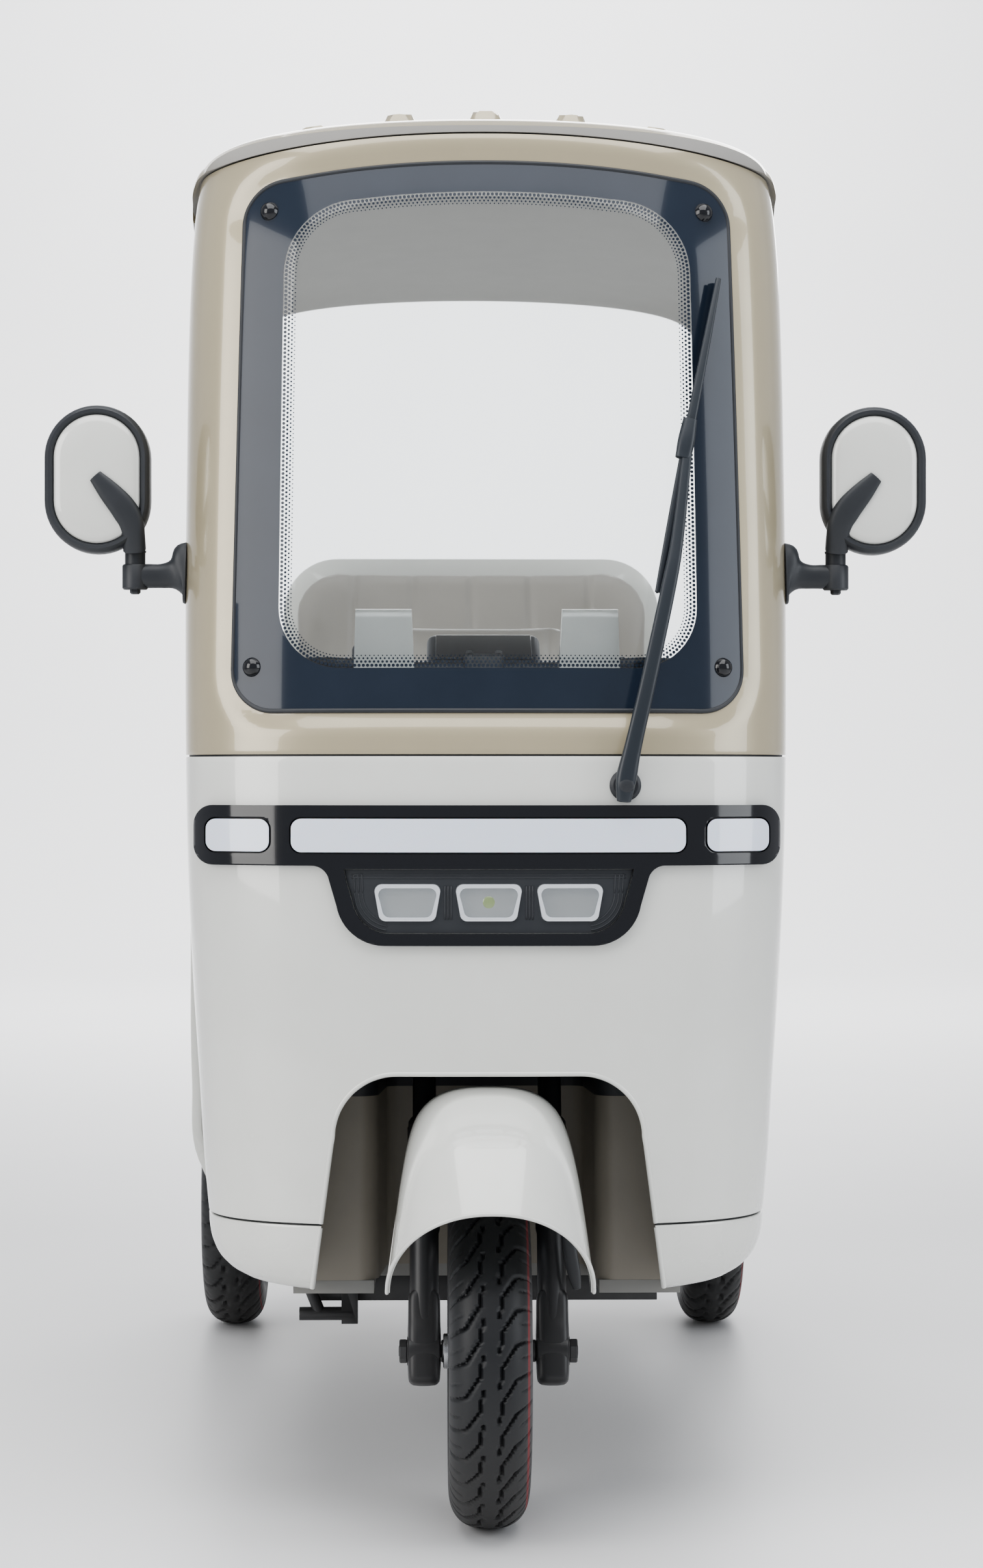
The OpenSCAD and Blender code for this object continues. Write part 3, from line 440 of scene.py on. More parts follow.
def makeMaterial(name, colour, second=None, roughness=0.4, spread=0.08, grain=400, bump=0.1, depth=0.1,
                 dust=0.0, dustTop=0.6, wear=0.0, wearColour=(0.5, 0.5, 0.5), **shader):
    material = bpy.data.materials.new(name)
    material.use_nodes = True
    tree = material.node_tree
    surface = tree.nodes["Principled BSDF"]
    for key, value in shader.items():
        surface.inputs[key.replace("_", " ")].default_value = value
    grainNode = addNode(tree, "ShaderNodeGroup", node_tree=grainGroup)
    grainNode.inputs["Scale"].default_value = grain
    tone = addNode(tree, "ShaderNodeMix", data_type="RGBA")
    tone.inputs["A"].default_value = (*colour, 1)
    tone.inputs["B"].default_value = (*(second or [c * 0.86 for c in colour]), 1)
    tree.links.new(grainNode.outputs["Tone"], tone.inputs["Factor"])
    result = tone.outputs["Result"]
    level = mathNode(tree, "ADD", roughness - spread / 2, mathNode(tree, "MULTIPLY", grainNode.outputs["Tone"], spread))
    if dust:
        dustNode = addNode(tree, "ShaderNodeGroup", node_tree=dustGroup)
        dustNode.inputs["Amount"].default_value = dust
        dustNode.inputs["Top"].default_value = dustTop
        dusty = addNode(tree, "ShaderNodeMix", data_type="RGBA")
        dusty.inputs["B"].default_value = (0.30, 0.27, 0.22, 1)
        tree.links.new(result, dusty.inputs["A"])
        tree.links.new(dustNode.outputs["Mask"], dusty.inputs["Factor"])
        result = dusty.outputs["Result"]
        level = mathNode(tree, "ADD", level, mathNode(tree, "MULTIPLY", dustNode.outputs["Mask"], 0.5), True)
    if wear:
        wearNode = addNode(tree, "ShaderNodeGroup", node_tree=wearGroup)
        wearNode.inputs["Amount"].default_value = wear
        worn = addNode(tree, "ShaderNodeMix", data_type="RGBA")
        worn.inputs["B"].default_value = (*wearColour, 1)
        tree.links.new(result, worn.inputs["A"])
        tree.links.new(wearNode.outputs["Mask"], worn.inputs["Factor"])
        result = worn.outputs["Result"]
    tree.links.new(result, surface.inputs["Base Color"])
    tree.links.new(level, surface.inputs["Roughness"])
    if bump:
        bumpNode = addNode(tree, "ShaderNodeBump")
        bumpNode.inputs["Strength"].default_value = bump
        bumpNode.inputs["Distance"].default_value = depth / 1000
        tree.links.new(grainNode.outputs["Height"], bumpNode.inputs["Height"])
        tree.links.new(bumpNode.outputs["Normal"], surface.inputs["Normal"])
    return material


def buildMaterials():
    made = {}
    made["cream"] = makeMaterial("creamPaint", (0.70, 0.71, 0.68), (0.66, 0.665, 0.63), roughness=0.25, grain=900,
                                 bump=0.05, depth=0.05, dust=0.25, dustTop=0.5, wear=0.1, wearColour=(0.5, 0.48, 0.44),
                                 Coat_Weight=1.0, Coat_Roughness=0.04, Coat_IOR=1.5)
    made["gold"] = makeMaterial("champagnePaint", (0.415, 0.365, 0.255), (0.385, 0.338, 0.235), roughness=0.3,
                                grain=900, bump=0.05, depth=0.05, Metallic=0.2, Coat_Weight=1.0, Coat_Roughness=0.04)
    made["pianoBlack"] = makeMaterial("pianoBlack", (0.006, 0.007, 0.010), roughness=0.1, spread=0.04, grain=900,
                                      bump=0.03, depth=0.03, Coat_Weight=0.25, Coat_Roughness=0.03)
    made["frit"] = makeMaterial("screenFrit", (0.020, 0.029, 0.046), (0.014, 0.021, 0.034), roughness=0.12,
                                spread=0.05, grain=700, bump=0.02, depth=0.03, Coat_Weight=0.35, Coat_Roughness=0.03,
                                Specular_IOR_Level=0.25)
    made["matt"] = makeMaterial("mattPlastic", (0.022, 0.025, 0.030), (0.030, 0.033, 0.038), roughness=0.45,
                                grain=1500, bump=0.3, depth=0.06, dust=0.2, wear=0.15, wearColour=(0.09, 0.09, 0.1))
    made["steel"] = makeMaterial("blackSteel", (0.014, 0.015, 0.017), (0.022, 0.022, 0.024), roughness=0.38, grain=500,
                                 bump=0.25, depth=0.1, dust=0.08, dustTop=0.4, wear=0.25, wearColour=(0.12, 0.12, 0.12))
    made["bright"] = makeMaterial("brightSteel", (0.60, 0.61, 0.62), (0.5, 0.5, 0.51), roughness=0.25, grain=600,
                                  bump=0.1, depth=0.05, Metallic=1.0)
    made["alloy"] = makeMaterial("castAlloy", (0.52, 0.53, 0.55), (0.44, 0.45, 0.47), roughness=0.38, grain=900,
                                 bump=0.3, depth=0.12, Metallic=0.9, dust=0.4, dustTop=0.4)
    made["taupe"] = makeMaterial("taupeLining", (0.285, 0.262, 0.222), (0.245, 0.225, 0.190), roughness=0.42, grain=300,
                                 bump=0.25, depth=0.2, dust=0.25, dustTop=0.6)
    made["mat"] = makeMaterial("floorMat", (0.30, 0.30, 0.29), (0.24, 0.24, 0.23), roughness=0.7, grain=800,
                               bump=0.4, depth=0.2, dust=0.4, dustTop=0.5)
    made["rubber"] = makeMaterial("tyreRubber", (0.010, 0.011, 0.013), (0.017, 0.018, 0.020), roughness=0.5,
                                  grain=700, bump=0.35, depth=0.12, dust=0.1, dustTop=0.2)
    made["redLine"] = makeMaterial("tyreRedLine", (0.17, 0.022, 0.025), roughness=0.6, grain=600, bump=0.2)
    made["diffuser"] = makeMaterial("lampDiffuser", (0.74, 0.79, 0.88), (0.70, 0.75, 0.86), roughness=0.3, grain=500,
                                    bump=0.02, depth=0.03, Coat_Weight=1.0, Coat_Roughness=0.03,
                                    Subsurface_Weight=0.2, Subsurface_Scale=0.004)
    # The chrome rims carry a weak emission: a painted highlight that makes them read bright.
    made["chrome"] = makeMaterial("lampChromePaintedGlow", (0.86, 0.88, 0.9), roughness=0.12, spread=0.03, grain=300, bump=0.02,
                                  Metallic=0.8, Emission_Color=(0.85, 0.9, 1.0, 1), Emission_Strength=0.22)
    made["ledChip"] = makeMaterial("ledChip", (0.75, 0.62, 0.12), (0.65, 0.5, 0.1), roughness=0.4, grain=900,
                                   Emission_Color=(0.8, 0.68, 0.15, 1), Emission_Strength=0.5)
    made["greenLens"] = makeMaterial("greenLens", (0.30, 0.38, 0.16), (0.24, 0.32, 0.12), roughness=0.08, grain=300,
                                     bump=0.05, Coat_Weight=1.0, Emission_Color=(0.45, 0.52, 0.24, 1),
                                     Emission_Strength=0.35)
    made["lens"] = makeMaterial("lampLens", (0.95, 0.97, 1.0), roughness=0.03, spread=0.02, grain=200, bump=0.0,
                                Transmission_Weight=1.0, IOR=1.45)
    made["glass"] = makeMaterial("screenGlass", (0.93, 0.96, 0.97), (0.93, 0.96, 0.97), roughness=0.02, spread=0.01,
                                 grain=100, bump=0.0, Transmission_Weight=1.0, IOR=1.45)
    made["mirror"] = makeMaterial("mirrorGlass", (0.9, 0.91, 0.92), roughness=0.03, spread=0.01, grain=100, bump=0.0,
                                  Metallic=1.0)
    made["leather"] = makeMaterial("seatLeather", (0.37, 0.35, 0.315), (0.33, 0.31, 0.28), roughness=0.45,
                                   grain=650, bump=0.5, depth=0.25, Sheen_Weight=0.15)
    made["liner"] = makeMaterial("roofLiner", (0.42, 0.41, 0.39), (0.39, 0.38, 0.36), roughness=0.75, grain=900,
                                 bump=0.4, depth=0.2)
    made["orange"] = makeMaterial("switchOrange", (0.75, 0.10, 0.03), roughness=0.35, grain=500, bump=0.05)
    made["amber"] = makeMaterial("amberLens", (0.75, 0.25, 0.03), roughness=0.12, grain=300, Coat_Weight=1.0)
    made["redLens"] = makeMaterial("redLens", (0.45, 0.01, 0.012), roughness=0.12, grain=300, Coat_Weight=1.0)
    # The reflector bowls carry a weak bluish emission: a painted reflection that brightens them.
    made["bowl"] = makeMaterial("lampBowlPaintedGlow", (0.42, 0.44, 0.47), (0.30, 0.32, 0.35), roughness=0.2, grain=400,
                                bump=0.1, Metallic=0.85, Emission_Color=(0.55, 0.62, 0.75, 1), Emission_Strength=0.10)
    made["wiperBlack"] = makeMaterial("wiperBlack", (0.022, 0.028, 0.036), roughness=0.35, grain=900, bump=0.15,
                                      wear=0.2, wearColour=(0.12, 0.13, 0.14))
    made["floor"] = makeMaterial("paleFloor", (0.80, 0.80, 0.80), (0.77, 0.77, 0.775), roughness=0.45, grain=60,
                                 bump=0.02)
    return made


paint = buildMaterials()
print("materials built")


# Front panel, skirt and the lining behind the wheel
frontBody = {
    "archLow": 230, "archHigh": 197, "archTop": 569, "archRound": 80, "lip": 3.4, "panelWall": 16,
    "sill": [(290, 280, -4), (294, 306, -8), (302, 326, -12), (316, 344, -16), (338, 357, -19), (360, 362, -20),
             (378, 363, -20)],
}


def wheelArch(grow=0.0):
    low, high = frontBody["archLow"] + grow, frontBody["archHigh"] + grow
    r = frontBody["archRound"]
    x, z = high - r - 3, frontBody["archTop"] - r
    return ([(low, 230), (high, z - 10)] + arc(x, z, r + grow, 0, 90, 18)
            + arc(-x, z, r + grow, 90, 180, 18) + [(-high, z - 10), (-low, 230)])


def archLine(low, high):
    course = np.array(wheelArch(1.2), float)
    length = np.concatenate([[0], np.cumsum(np.linalg.norm(np.diff(course, axis=0), axis=1))])
    even = np.linspace(0, length[-1], 181)
    xs, zs = np.interp(even, length, course[:, 0]), np.interp(even, length, course[:, 1])
    return [(x, z) for x, z in zip(xs, zs) if low < z < high]


def legRear(z):
    lift = np.clip((z - 560) / 422, 0, 1)
    return cowlY - 150 * (1 - np.sqrt(1 - lift ** 2))


def faceTube(name, outline, radius, inset=0.0, closed=False):
    course = np.array(outline, float)
    ys = faceY(course[:, 0], course[:, 1], inset)
    return tubePiece(name, [(x, y, z) for (x, z), y in zip(course, ys)], radius, closed)


def buildFrontBody():
    seam = cab["seam"] / 2
    z0, z1 = cab["skirtZ"] + seam, cab["waistZ"] - seam

    def panelSpot(u, v):
        z = z0 + v * (z1 - z0)
        return cabSpot(u, z, 0, legRear(z))

    panel = gridPiece("panel", 150, 72, panelSpot)
    applied(panel, "SOLIDIFY", thickness=frontBody["panelWall"] / 1000, offset=-1)
    rounded(panel, 1.4, 2, 60)
    cut(panel, toFront("archCutter", wheelArch()))
    hole = lathePiece("hole", [(0, -40), (13, -40), (13, 40), (0, 40)],
                      shift(172, faceY(172, 932), 932) @ turn(90, "X"), 32)
    cut(panel, hole)
    bead = faceTube("bead", archLine(379, 600), frontBody["lip"], 2)
    panel = joined("frontPanel", [smoothed(panel, 32), smoothed(bead, 60)])
    finished(panel, "body", "cream_paint", paint["cream"], "front_panel")

    def skirtSpot(u, v):
        z = cab["levels"][0][0] + (cab["skirtZ"] - seam - cab["levels"][0][0]) * v ** 1.3
        return cabSpot(u, z, 0, cowlY, frontBody["sill"])

    skirt = gridPiece("skirt", 180, 26, skirtSpot)
    applied(skirt, "SOLIDIFY", thickness=0.006, offset=-1)
    rounded(skirt, 2, 2, 60)
    cut(skirt, toFront("archCutter", wheelArch()))
    low = [spot for spot in archLine(292, 376) if spot[0] > 0]
    ys = [frontAxleY + float(along(frontBody["sill"], 2, z)) + 4 + (x / 363) ** 2.8 * 80 for x, z in low]
    beads = [tubePiece("bead", [(side * x, y, z) for (x, z), y in zip(low, ys)], frontBody["lip"])
             for side in (1, -1)]
    skirt = joined("frontSkirt", [smoothed(skirt, 40)] + [smoothed(bead, 60) for bead in beads])
    finished(skirt, "body", "cream_paint", paint["cream"], "front_skirt")

    # Dark strips set just behind the skirt and waist seam gaps: painted shade inside the gaps.
    strips = []
    for level in (cab["skirtZ"], cab["waistZ"]):
        strip = gridPiece("strip", 150, 3, lambda u, v: cabSpot(u, level - 9 + 18 * v, 4.5, cowlY - 148))
        applied(strip, "SOLIDIFY", thickness=0.003, offset=-1)
        strips.append(cut(strip, toFront("archCutter", wheelArch())))
    finished(smoothed(joined("seamShadeStrips", strips), 40), "body", "black_plastic", paint["matt"])


buildFrontBody()
print("front body built")


# Lining of the recess behind the front wheel
# The last entry is the height above which the lining is painted dark: painted shade at the top of the recess, under the
# front panel.
well = {"front": 130, "depth": 150, "wall": 6, "low": 290, "high": 600, "round": 22, "cheek": 236,
        "half": 146, "paintedShadeFrom": 538}


def buildWheelWell():
    front, back = frontAxleY + well["front"], frontAxleY + well["front"] + well["depth"]
    half, r = well["half"], well["round"]
    course = [(well["cheek"], front)] + arc(half + r, front + r, r, -90, -180, 10)
    course += arc(half - 8 - r, back - r, r, 0, 90, 10)
    spots = np.array(course + [(-x, y) for x, y in reversed(course)], float)
    run = np.gradient(spots, axis=0)
    run /= np.linalg.norm(run, axis=1)[:, None]
    outer = spots - np.column_stack([run[:, 1], -run[:, 0]]) * well["wall"]
    loop = np.vstack([spots, outer[::-1]])
    rings = [np.column_stack([loop, np.full(len(loop), z)]) for z in np.linspace(well["low"], well["high"], 14)]
    lining = loftPiece("wheelWell", rings)
    ribs = [boxPiece("rib", (9, 3.4, 250), (x, back - 2.5, 440), 1.4) for x in (-80, 0, 80)]
    lining = joined("wheelWell", [smoothed(lining, 35)] + ribs)
    finished(lining, "body", "taupe_plastic", [paint["taupe"], paint["matt"]], "wheel_well")
    # Faces above that height take the dark matt material as painted shade under the panel; faces below keep the taupe.
    centres = np.empty(len(lining.data.polygons) * 3)
    lining.data.polygons.foreach_get("center", centres)
    paintedShade = centres.reshape(-1, 3)[:, 2] * 1000 > well["paintedShadeFrom"]
    lining.data.polygons.foreach_set("material_index", paintedShade.astype(int))


buildWheelWell()


# Windscreen: frame, glass, printed border, seal and plugs
screen = {
    "top": 1772, "topSag": 42, "bandWidth": 32, "bandDrop": 9.0, "frameWall": 28,
    "outline": (325, 314, 1026, 1734, 52, 58, 30), "clear": (266, 262, 1080, 1695, 78, 96, 24),
    "glassInset": 8, "seal": 3.2, "dotRows": [(3.3, 2.1), (8.0, 1.7), (12.2, 1.3), (15.8, 0.9)], "dotGap": 5.4,
    "caps": [(281, 1674), (-281, 1674), (300, 1082), (-300, 1082)],
}


def pillarRear(z):
    t = np.clip((z - 970) / 670, 0, 1)
    low = cowlY - 150 - 26 * np.sin(np.pi * t)
    bend = cowlY - 90 - np.sqrt(np.clip(3600 - (z - 1640) ** 2, 0, None))
    roofward = cowlY - 110.5 + (z - 1696.4) * 110.5 / 63.6
    return np.where(z < 1640, low, np.where(z < 1696.4, bend, roofward))


def smoothStep(low, high, value):
    t = np.clip((value - low) / (high - low), 0, 1)
    return t * t * (3 - 2 * t)


def screenPatch(name, outline, inset, thickness, columns=90, rows=90):
    low, high = 1000, 1755
    piece = gridPiece(name, columns, rows,
                      lambda u, v: cabSpot(0.19 + u * 0.62, low + v * (high - low), inset, cowlY))
    applied(piece, "SOLIDIFY", thickness=thickness / 1000, offset=-1)
    return cut(piece, toFront("trim", outline), "INTERSECT")


def buildWindscreen():
    z0 = cab["waistZ"] + cab["seam"] / 2
    outline = archedOutline(*screen["outline"])

    def frameSpot(u, v):
        z = z0 + v * (screen["top"] - z0)
        for _ in range(5):
            x = cabSpot(u, z, 0, cowlY)[0]
            z = z0 + v * (screen["top"] - screen["topSag"] * (x / 400) ** 2 - z0)
        x = cabSpot(u, z, 0, cowlY)[0]
        gap = outlineDistance(outline, x, z)
        inset = screen["bandDrop"] * (1 - smoothStep(-2, screen["bandWidth"], gap))
        rear = np.maximum(pillarRear(z), frontAxleY + along(cab["levels"], 2, z) + cab["depth"] + 6)
        return cabSpot(u, z, inset, rear)

    shell = gridPiece("shell", 176, 112, frameSpot)
    applied(shell, "SOLIDIFY", thickness=screen["frameWall"] / 1000, offset=-1)
    rounded(shell, 1.4, 2, 60)
    cut(shell, toFront("opening", outline))
    shell.name = "windscreenFrame"
    finished(smoothed(shell, 32), "body", "champagne_paint", paint["gold"], "windscreen_frame")

    def crownSpot(u, v):
        x = cabSpot(u, screen["top"] - 20, 0, cowlY)[0]
        z = screen["top"] - screen["topSag"] * (x / 400) ** 2 - 9 + 18 * v
        return cabSpot(u, z, 5, cowlY)

    # Dark strip behind the seam between the frame top and the roof: painted shade in the gap.
    strip = gridPiece("crownSeamShade", 150, 3, crownSpot)
    applied(strip, "SOLIDIFY", thickness=0.003, offset=-1)
    finished(smoothed(strip, 40), "body", "black_plastic", paint["matt"])

    w0, w1, low, high, r0, r1, sag = screen["outline"]
    glassLine = archedOutline(w0 - 1, w1 - 1, low + 1, high - 1, r0 - 1, r1 - 1, sag)
    clearLine = archedOutline(*screen["clear"])
    glass = smoothed(screenPatch("windscreenGlass", glassLine, screen["glassInset"], 4, 60, 60), 30)
    finished(glass, "body", "screen_glass", paint["glass"], "windscreen")

    border = screenPatch("windscreenBorder", glassLine, screen["glassInset"] - 0.8, 1.0)
    cut(border, toFront("clear", clearLine))
    border = smoothed(border, 30)
    dots = []
    faces = []
    for row, (gap, radius) in enumerate(screen["dotRows"]):
        spots, normals = spacedAlong(clearLine, screen["dotGap"])
        middle = spots + normals * gap
        if row % 2:
            middle = (middle + np.roll(middle, -1, axis=0)) / 2
        for x, z in middle:
            start = len(dots)
            for step in range(8):
                px, pz = x + radius * math.cos(step * math.pi / 4), z + radius * math.sin(step * math.pi / 4)
                dots.append((px, pz))
            faces.append(list(range(start, start + 8)))
    places = np.array(dots)
    ys = faceY(places[:, 0], places[:, 1], screen["glassInset"] - 0.5)
    mesh = bpy.data.meshes.new("dots")
    mesh.from_pydata((np.column_stack([places[:, 0], ys, places[:, 1]]) / 1000).tolist(), [], faces)
    speckle = bpy.data.objects.new("dots", mesh)
    bpy.context.scene.collection.objects.link(speckle)
    border = joined("windscreenBorder", [border, speckle])
    finished(border, "body", "gloss_black", paint["frit"])

    seal = faceTube("windscreenSeal", [tuple(p) for p in spacedAlong(outline, 12)[0]], screen["seal"],
                    screen["bandDrop"] - 0.5, True)
    finished(smoothed(seal, 60), "body", "black_plastic", paint["matt"])

    plugs = []
    for x, z in screen["caps"]:
        across = math.degrees(math.atan2(faceY(x + 4, z) - faceY(x - 4, z), 8))
        lean = math.degrees(math.atan2(faceY(x, z + 20) - faceY(x, z - 20), 40))
        dome = [(0, 10.5), (4, 10), (8, 8.2), (10.6, 5.6), (11.6, 2.6), (12.4, 1.6), (12.6, -1), (0, -1)]
        plugs.append(lathePiece("plug", dome, shift(x, faceY(x, z, screen["glassInset"]), z)
                                @ turn(across, "Z") @ turn(90 - lean, "X"), 32))
    plugs = joined("screenPlugs", plugs)
    finished(smoothed(plugs, 40), "body", "gloss_black", paint["pianoBlack"], "screen_caps")


buildWindscreen()
print("windscreen built")


# Roof with five ribs
roof = {
    "stations": [(92, 372, 1722, 1782), (112, 381, 1720, 1792), (152, 389, 1717, 1799), (250, 396, 1711, 1804),
                 (480, 403, 1702, 1806), (850, 412, 1700, 1806), (1230, 416, 1700, 1800), (1480, 410, 1700, 1791),
                 (1550, 398, 1702, 1782)],
    "skin": 18, "bow": 34, "lead": 0.8, "leadHalf": 372, "ribPitch": 114, "ribHalf": 28, "ribHeight": 21, "ribEdge": 9,
}


def buildRoof():
    first, last = roof["stations"][0][0], roof["stations"][-1][0]

    def roofSpot(u, v, ribs=1, inset=0):
        s = first + (last - first) * v ** 1.35
        angle = np.pi * (1 - u)
        rise = np.abs(np.sin(angle))
        width, edge, top = (along(roof["stations"], column, s) for column in (1, 2, 3))
        x = width * np.cos(angle)
        lead = faceY(np.clip(np.abs(x), 0, roof["leadHalf"]), 1740) - faceY(0, 1740)
        y = frontAxleY + s + lead * roof["lead"] * (1 - smoothStep(first, 640, s))
        y = y + (rise - 1) * roof["bow"] * smoothStep(250, 600, s)
        z = edge + (top - edge) * rise ** 0.62
        lift = np.zeros_like(x)
        for rib in range(-2, 3):
            start, end = frontAxleY + 200 + 14 * rib ** 2 + 28, frontAxleY + 1420 - 10 * rib ** 2 - 28
            away = np.hypot(x - rib * roof["ribPitch"], y - np.clip(y, start, end))
            lift = np.maximum(lift, smoothStep(0, roof["ribEdge"], roof["ribHalf"] - away))
        return x * (1 - inset / 400), y + inset, z + ribs * lift * roof["ribHeight"] - inset

    shell = gridPiece("roof", 150, 120, roofSpot)
    applied(shell, "SOLIDIFY", thickness=roof["skin"] / 1000, offset=-1)
    rounded(shell, 2.5, 3, 60)
    crown = archedOutline(400, 400, cab["waistZ"], screen["top"] + cab["seam"], 0.1, 40, screen["topSag"])
    cut(shell, prismPiece("crown", crown, frontAxleY - 200, cowlY + 20))
    finished(smoothed(shell, 32), "body", "champagne_paint", [paint["gold"], paint["liner"]], "roof")
    liner = gridPiece("roofLiner", 90, 60, lambda u, v: roofSpot(0.04 + 0.92 * u, 0.05 + 0.93 * v, 0, 24))
    applied(liner, "SOLIDIFY", thickness=0.003, offset=-1)
    finished(smoothed(liner, 40), "body", "black_plastic", paint["liner"])
    normals = np.empty(len(shell.data.polygons) * 3)
    shell.data.polygons.foreach_get("normal", normals)
    shell.data.polygons.foreach_set("material_index", (normals.reshape(-1, 3)[:, 2] < -0.35).astype(int))


buildRoof()
print("roof built")


# Lamps
lamps = {
    "barZ": 869, "bezelHalf": 377, "bezelTall": 38, "bezelLift": 9, "bar": (0, 869, 497, 42, 13),
    "turnX": 318, "turn": (83, 41, 13), "lensLift": 11.5, "groove": 2.2,
    "lampGap": 102, "lampZ": 785, "lampTop": 41, "lampLow": 36, "lampTall": 23, "lampRound": 9,
    "bowl": [(-18, 0.05, 12), (-9, 0.62, 11.5), (-9, 1, 8), (-5, 1, 1), (-3.6, 1, -4),
             (-2.8, 1, -4), (-4, 1, 2), (-8, 1, 9.5), (-8, 0.66, 13), (-18, 0.05, 13.5)],
}


def bezelOutline(grow=0.0):
    z, h, r = lamps["barZ"], lamps["bezelTall"] + grow, 26 + grow
    x = lamps["bezelHalf"] - 26
    low = z - lamps["bezelTall"] + 26
    high = z + lamps["bezelTall"] - 26
    return (arc(x, low, r, -90, 0, 8) + arc(x, high, r, 0, 90, 8) + arc(-x, high, r, 90, 180, 8)
            + arc(-x, low, r, 180, 270, 8) + arc(-222, 809 - grow, 22, 90, 10, 8)
            + arc(-131, 792, 61 + grow, 190, 270, 12) + arc(131, 792, 61 + grow, 270, 350, 12)
            + arc(222, 809 - grow, 22, 170, 90, 8))


def trayOutline(grow=0.0):
    return ([(181 + grow, 826 + grow), (-181 - grow, 826 + grow), (-178 - grow, 812)]
            + arc(-124, 794, 47 + grow, 190, 270, 10) + arc(124, 794, 47 + grow, 270, 350, 10) + [(178 + grow, 812)])


def lampOutline(x, grow=0.0):
    z, top, low, h, r = lamps["lampZ"], lamps["lampTop"] + grow, lamps["lampLow"] + grow, lamps["lampTall"] + grow, lamps["lampRound"]
    return (arc(x + low - r, z - h + r, r, -90, -4, 6) + arc(x + top - r, z + h - r, r, -4, 90, 6)
            + arc(x - top + r, z + h - r, r, 90, 184, 6) + arc(x - low + r, z - h + r, r, 184, 270, 6))


def lampPatch(name, outline, lift, thickness, columns=150, rows=40):
    zs = [z for _, z in outline]
    xs = [abs(x) for x, _ in outline]
    piece = gridPiece(name, columns, rows,
                      lambda u, v: frontRect(u, v, -max(xs) - 6, max(xs) + 6, min(zs) - 4, max(zs) + 4, -lift))
    applied(piece, "SOLIDIFY", thickness=thickness / 1000, offset=-1)
    return cut(piece, toFront("trim", outline), "INTERSECT")


def frontRect(u, v, x0, x1, z0, z1, inset):
    x = x0 + u * (x1 - x0)
    z = z0 + v * (z1 - z0)
    return x, faceY(x, z, inset), z


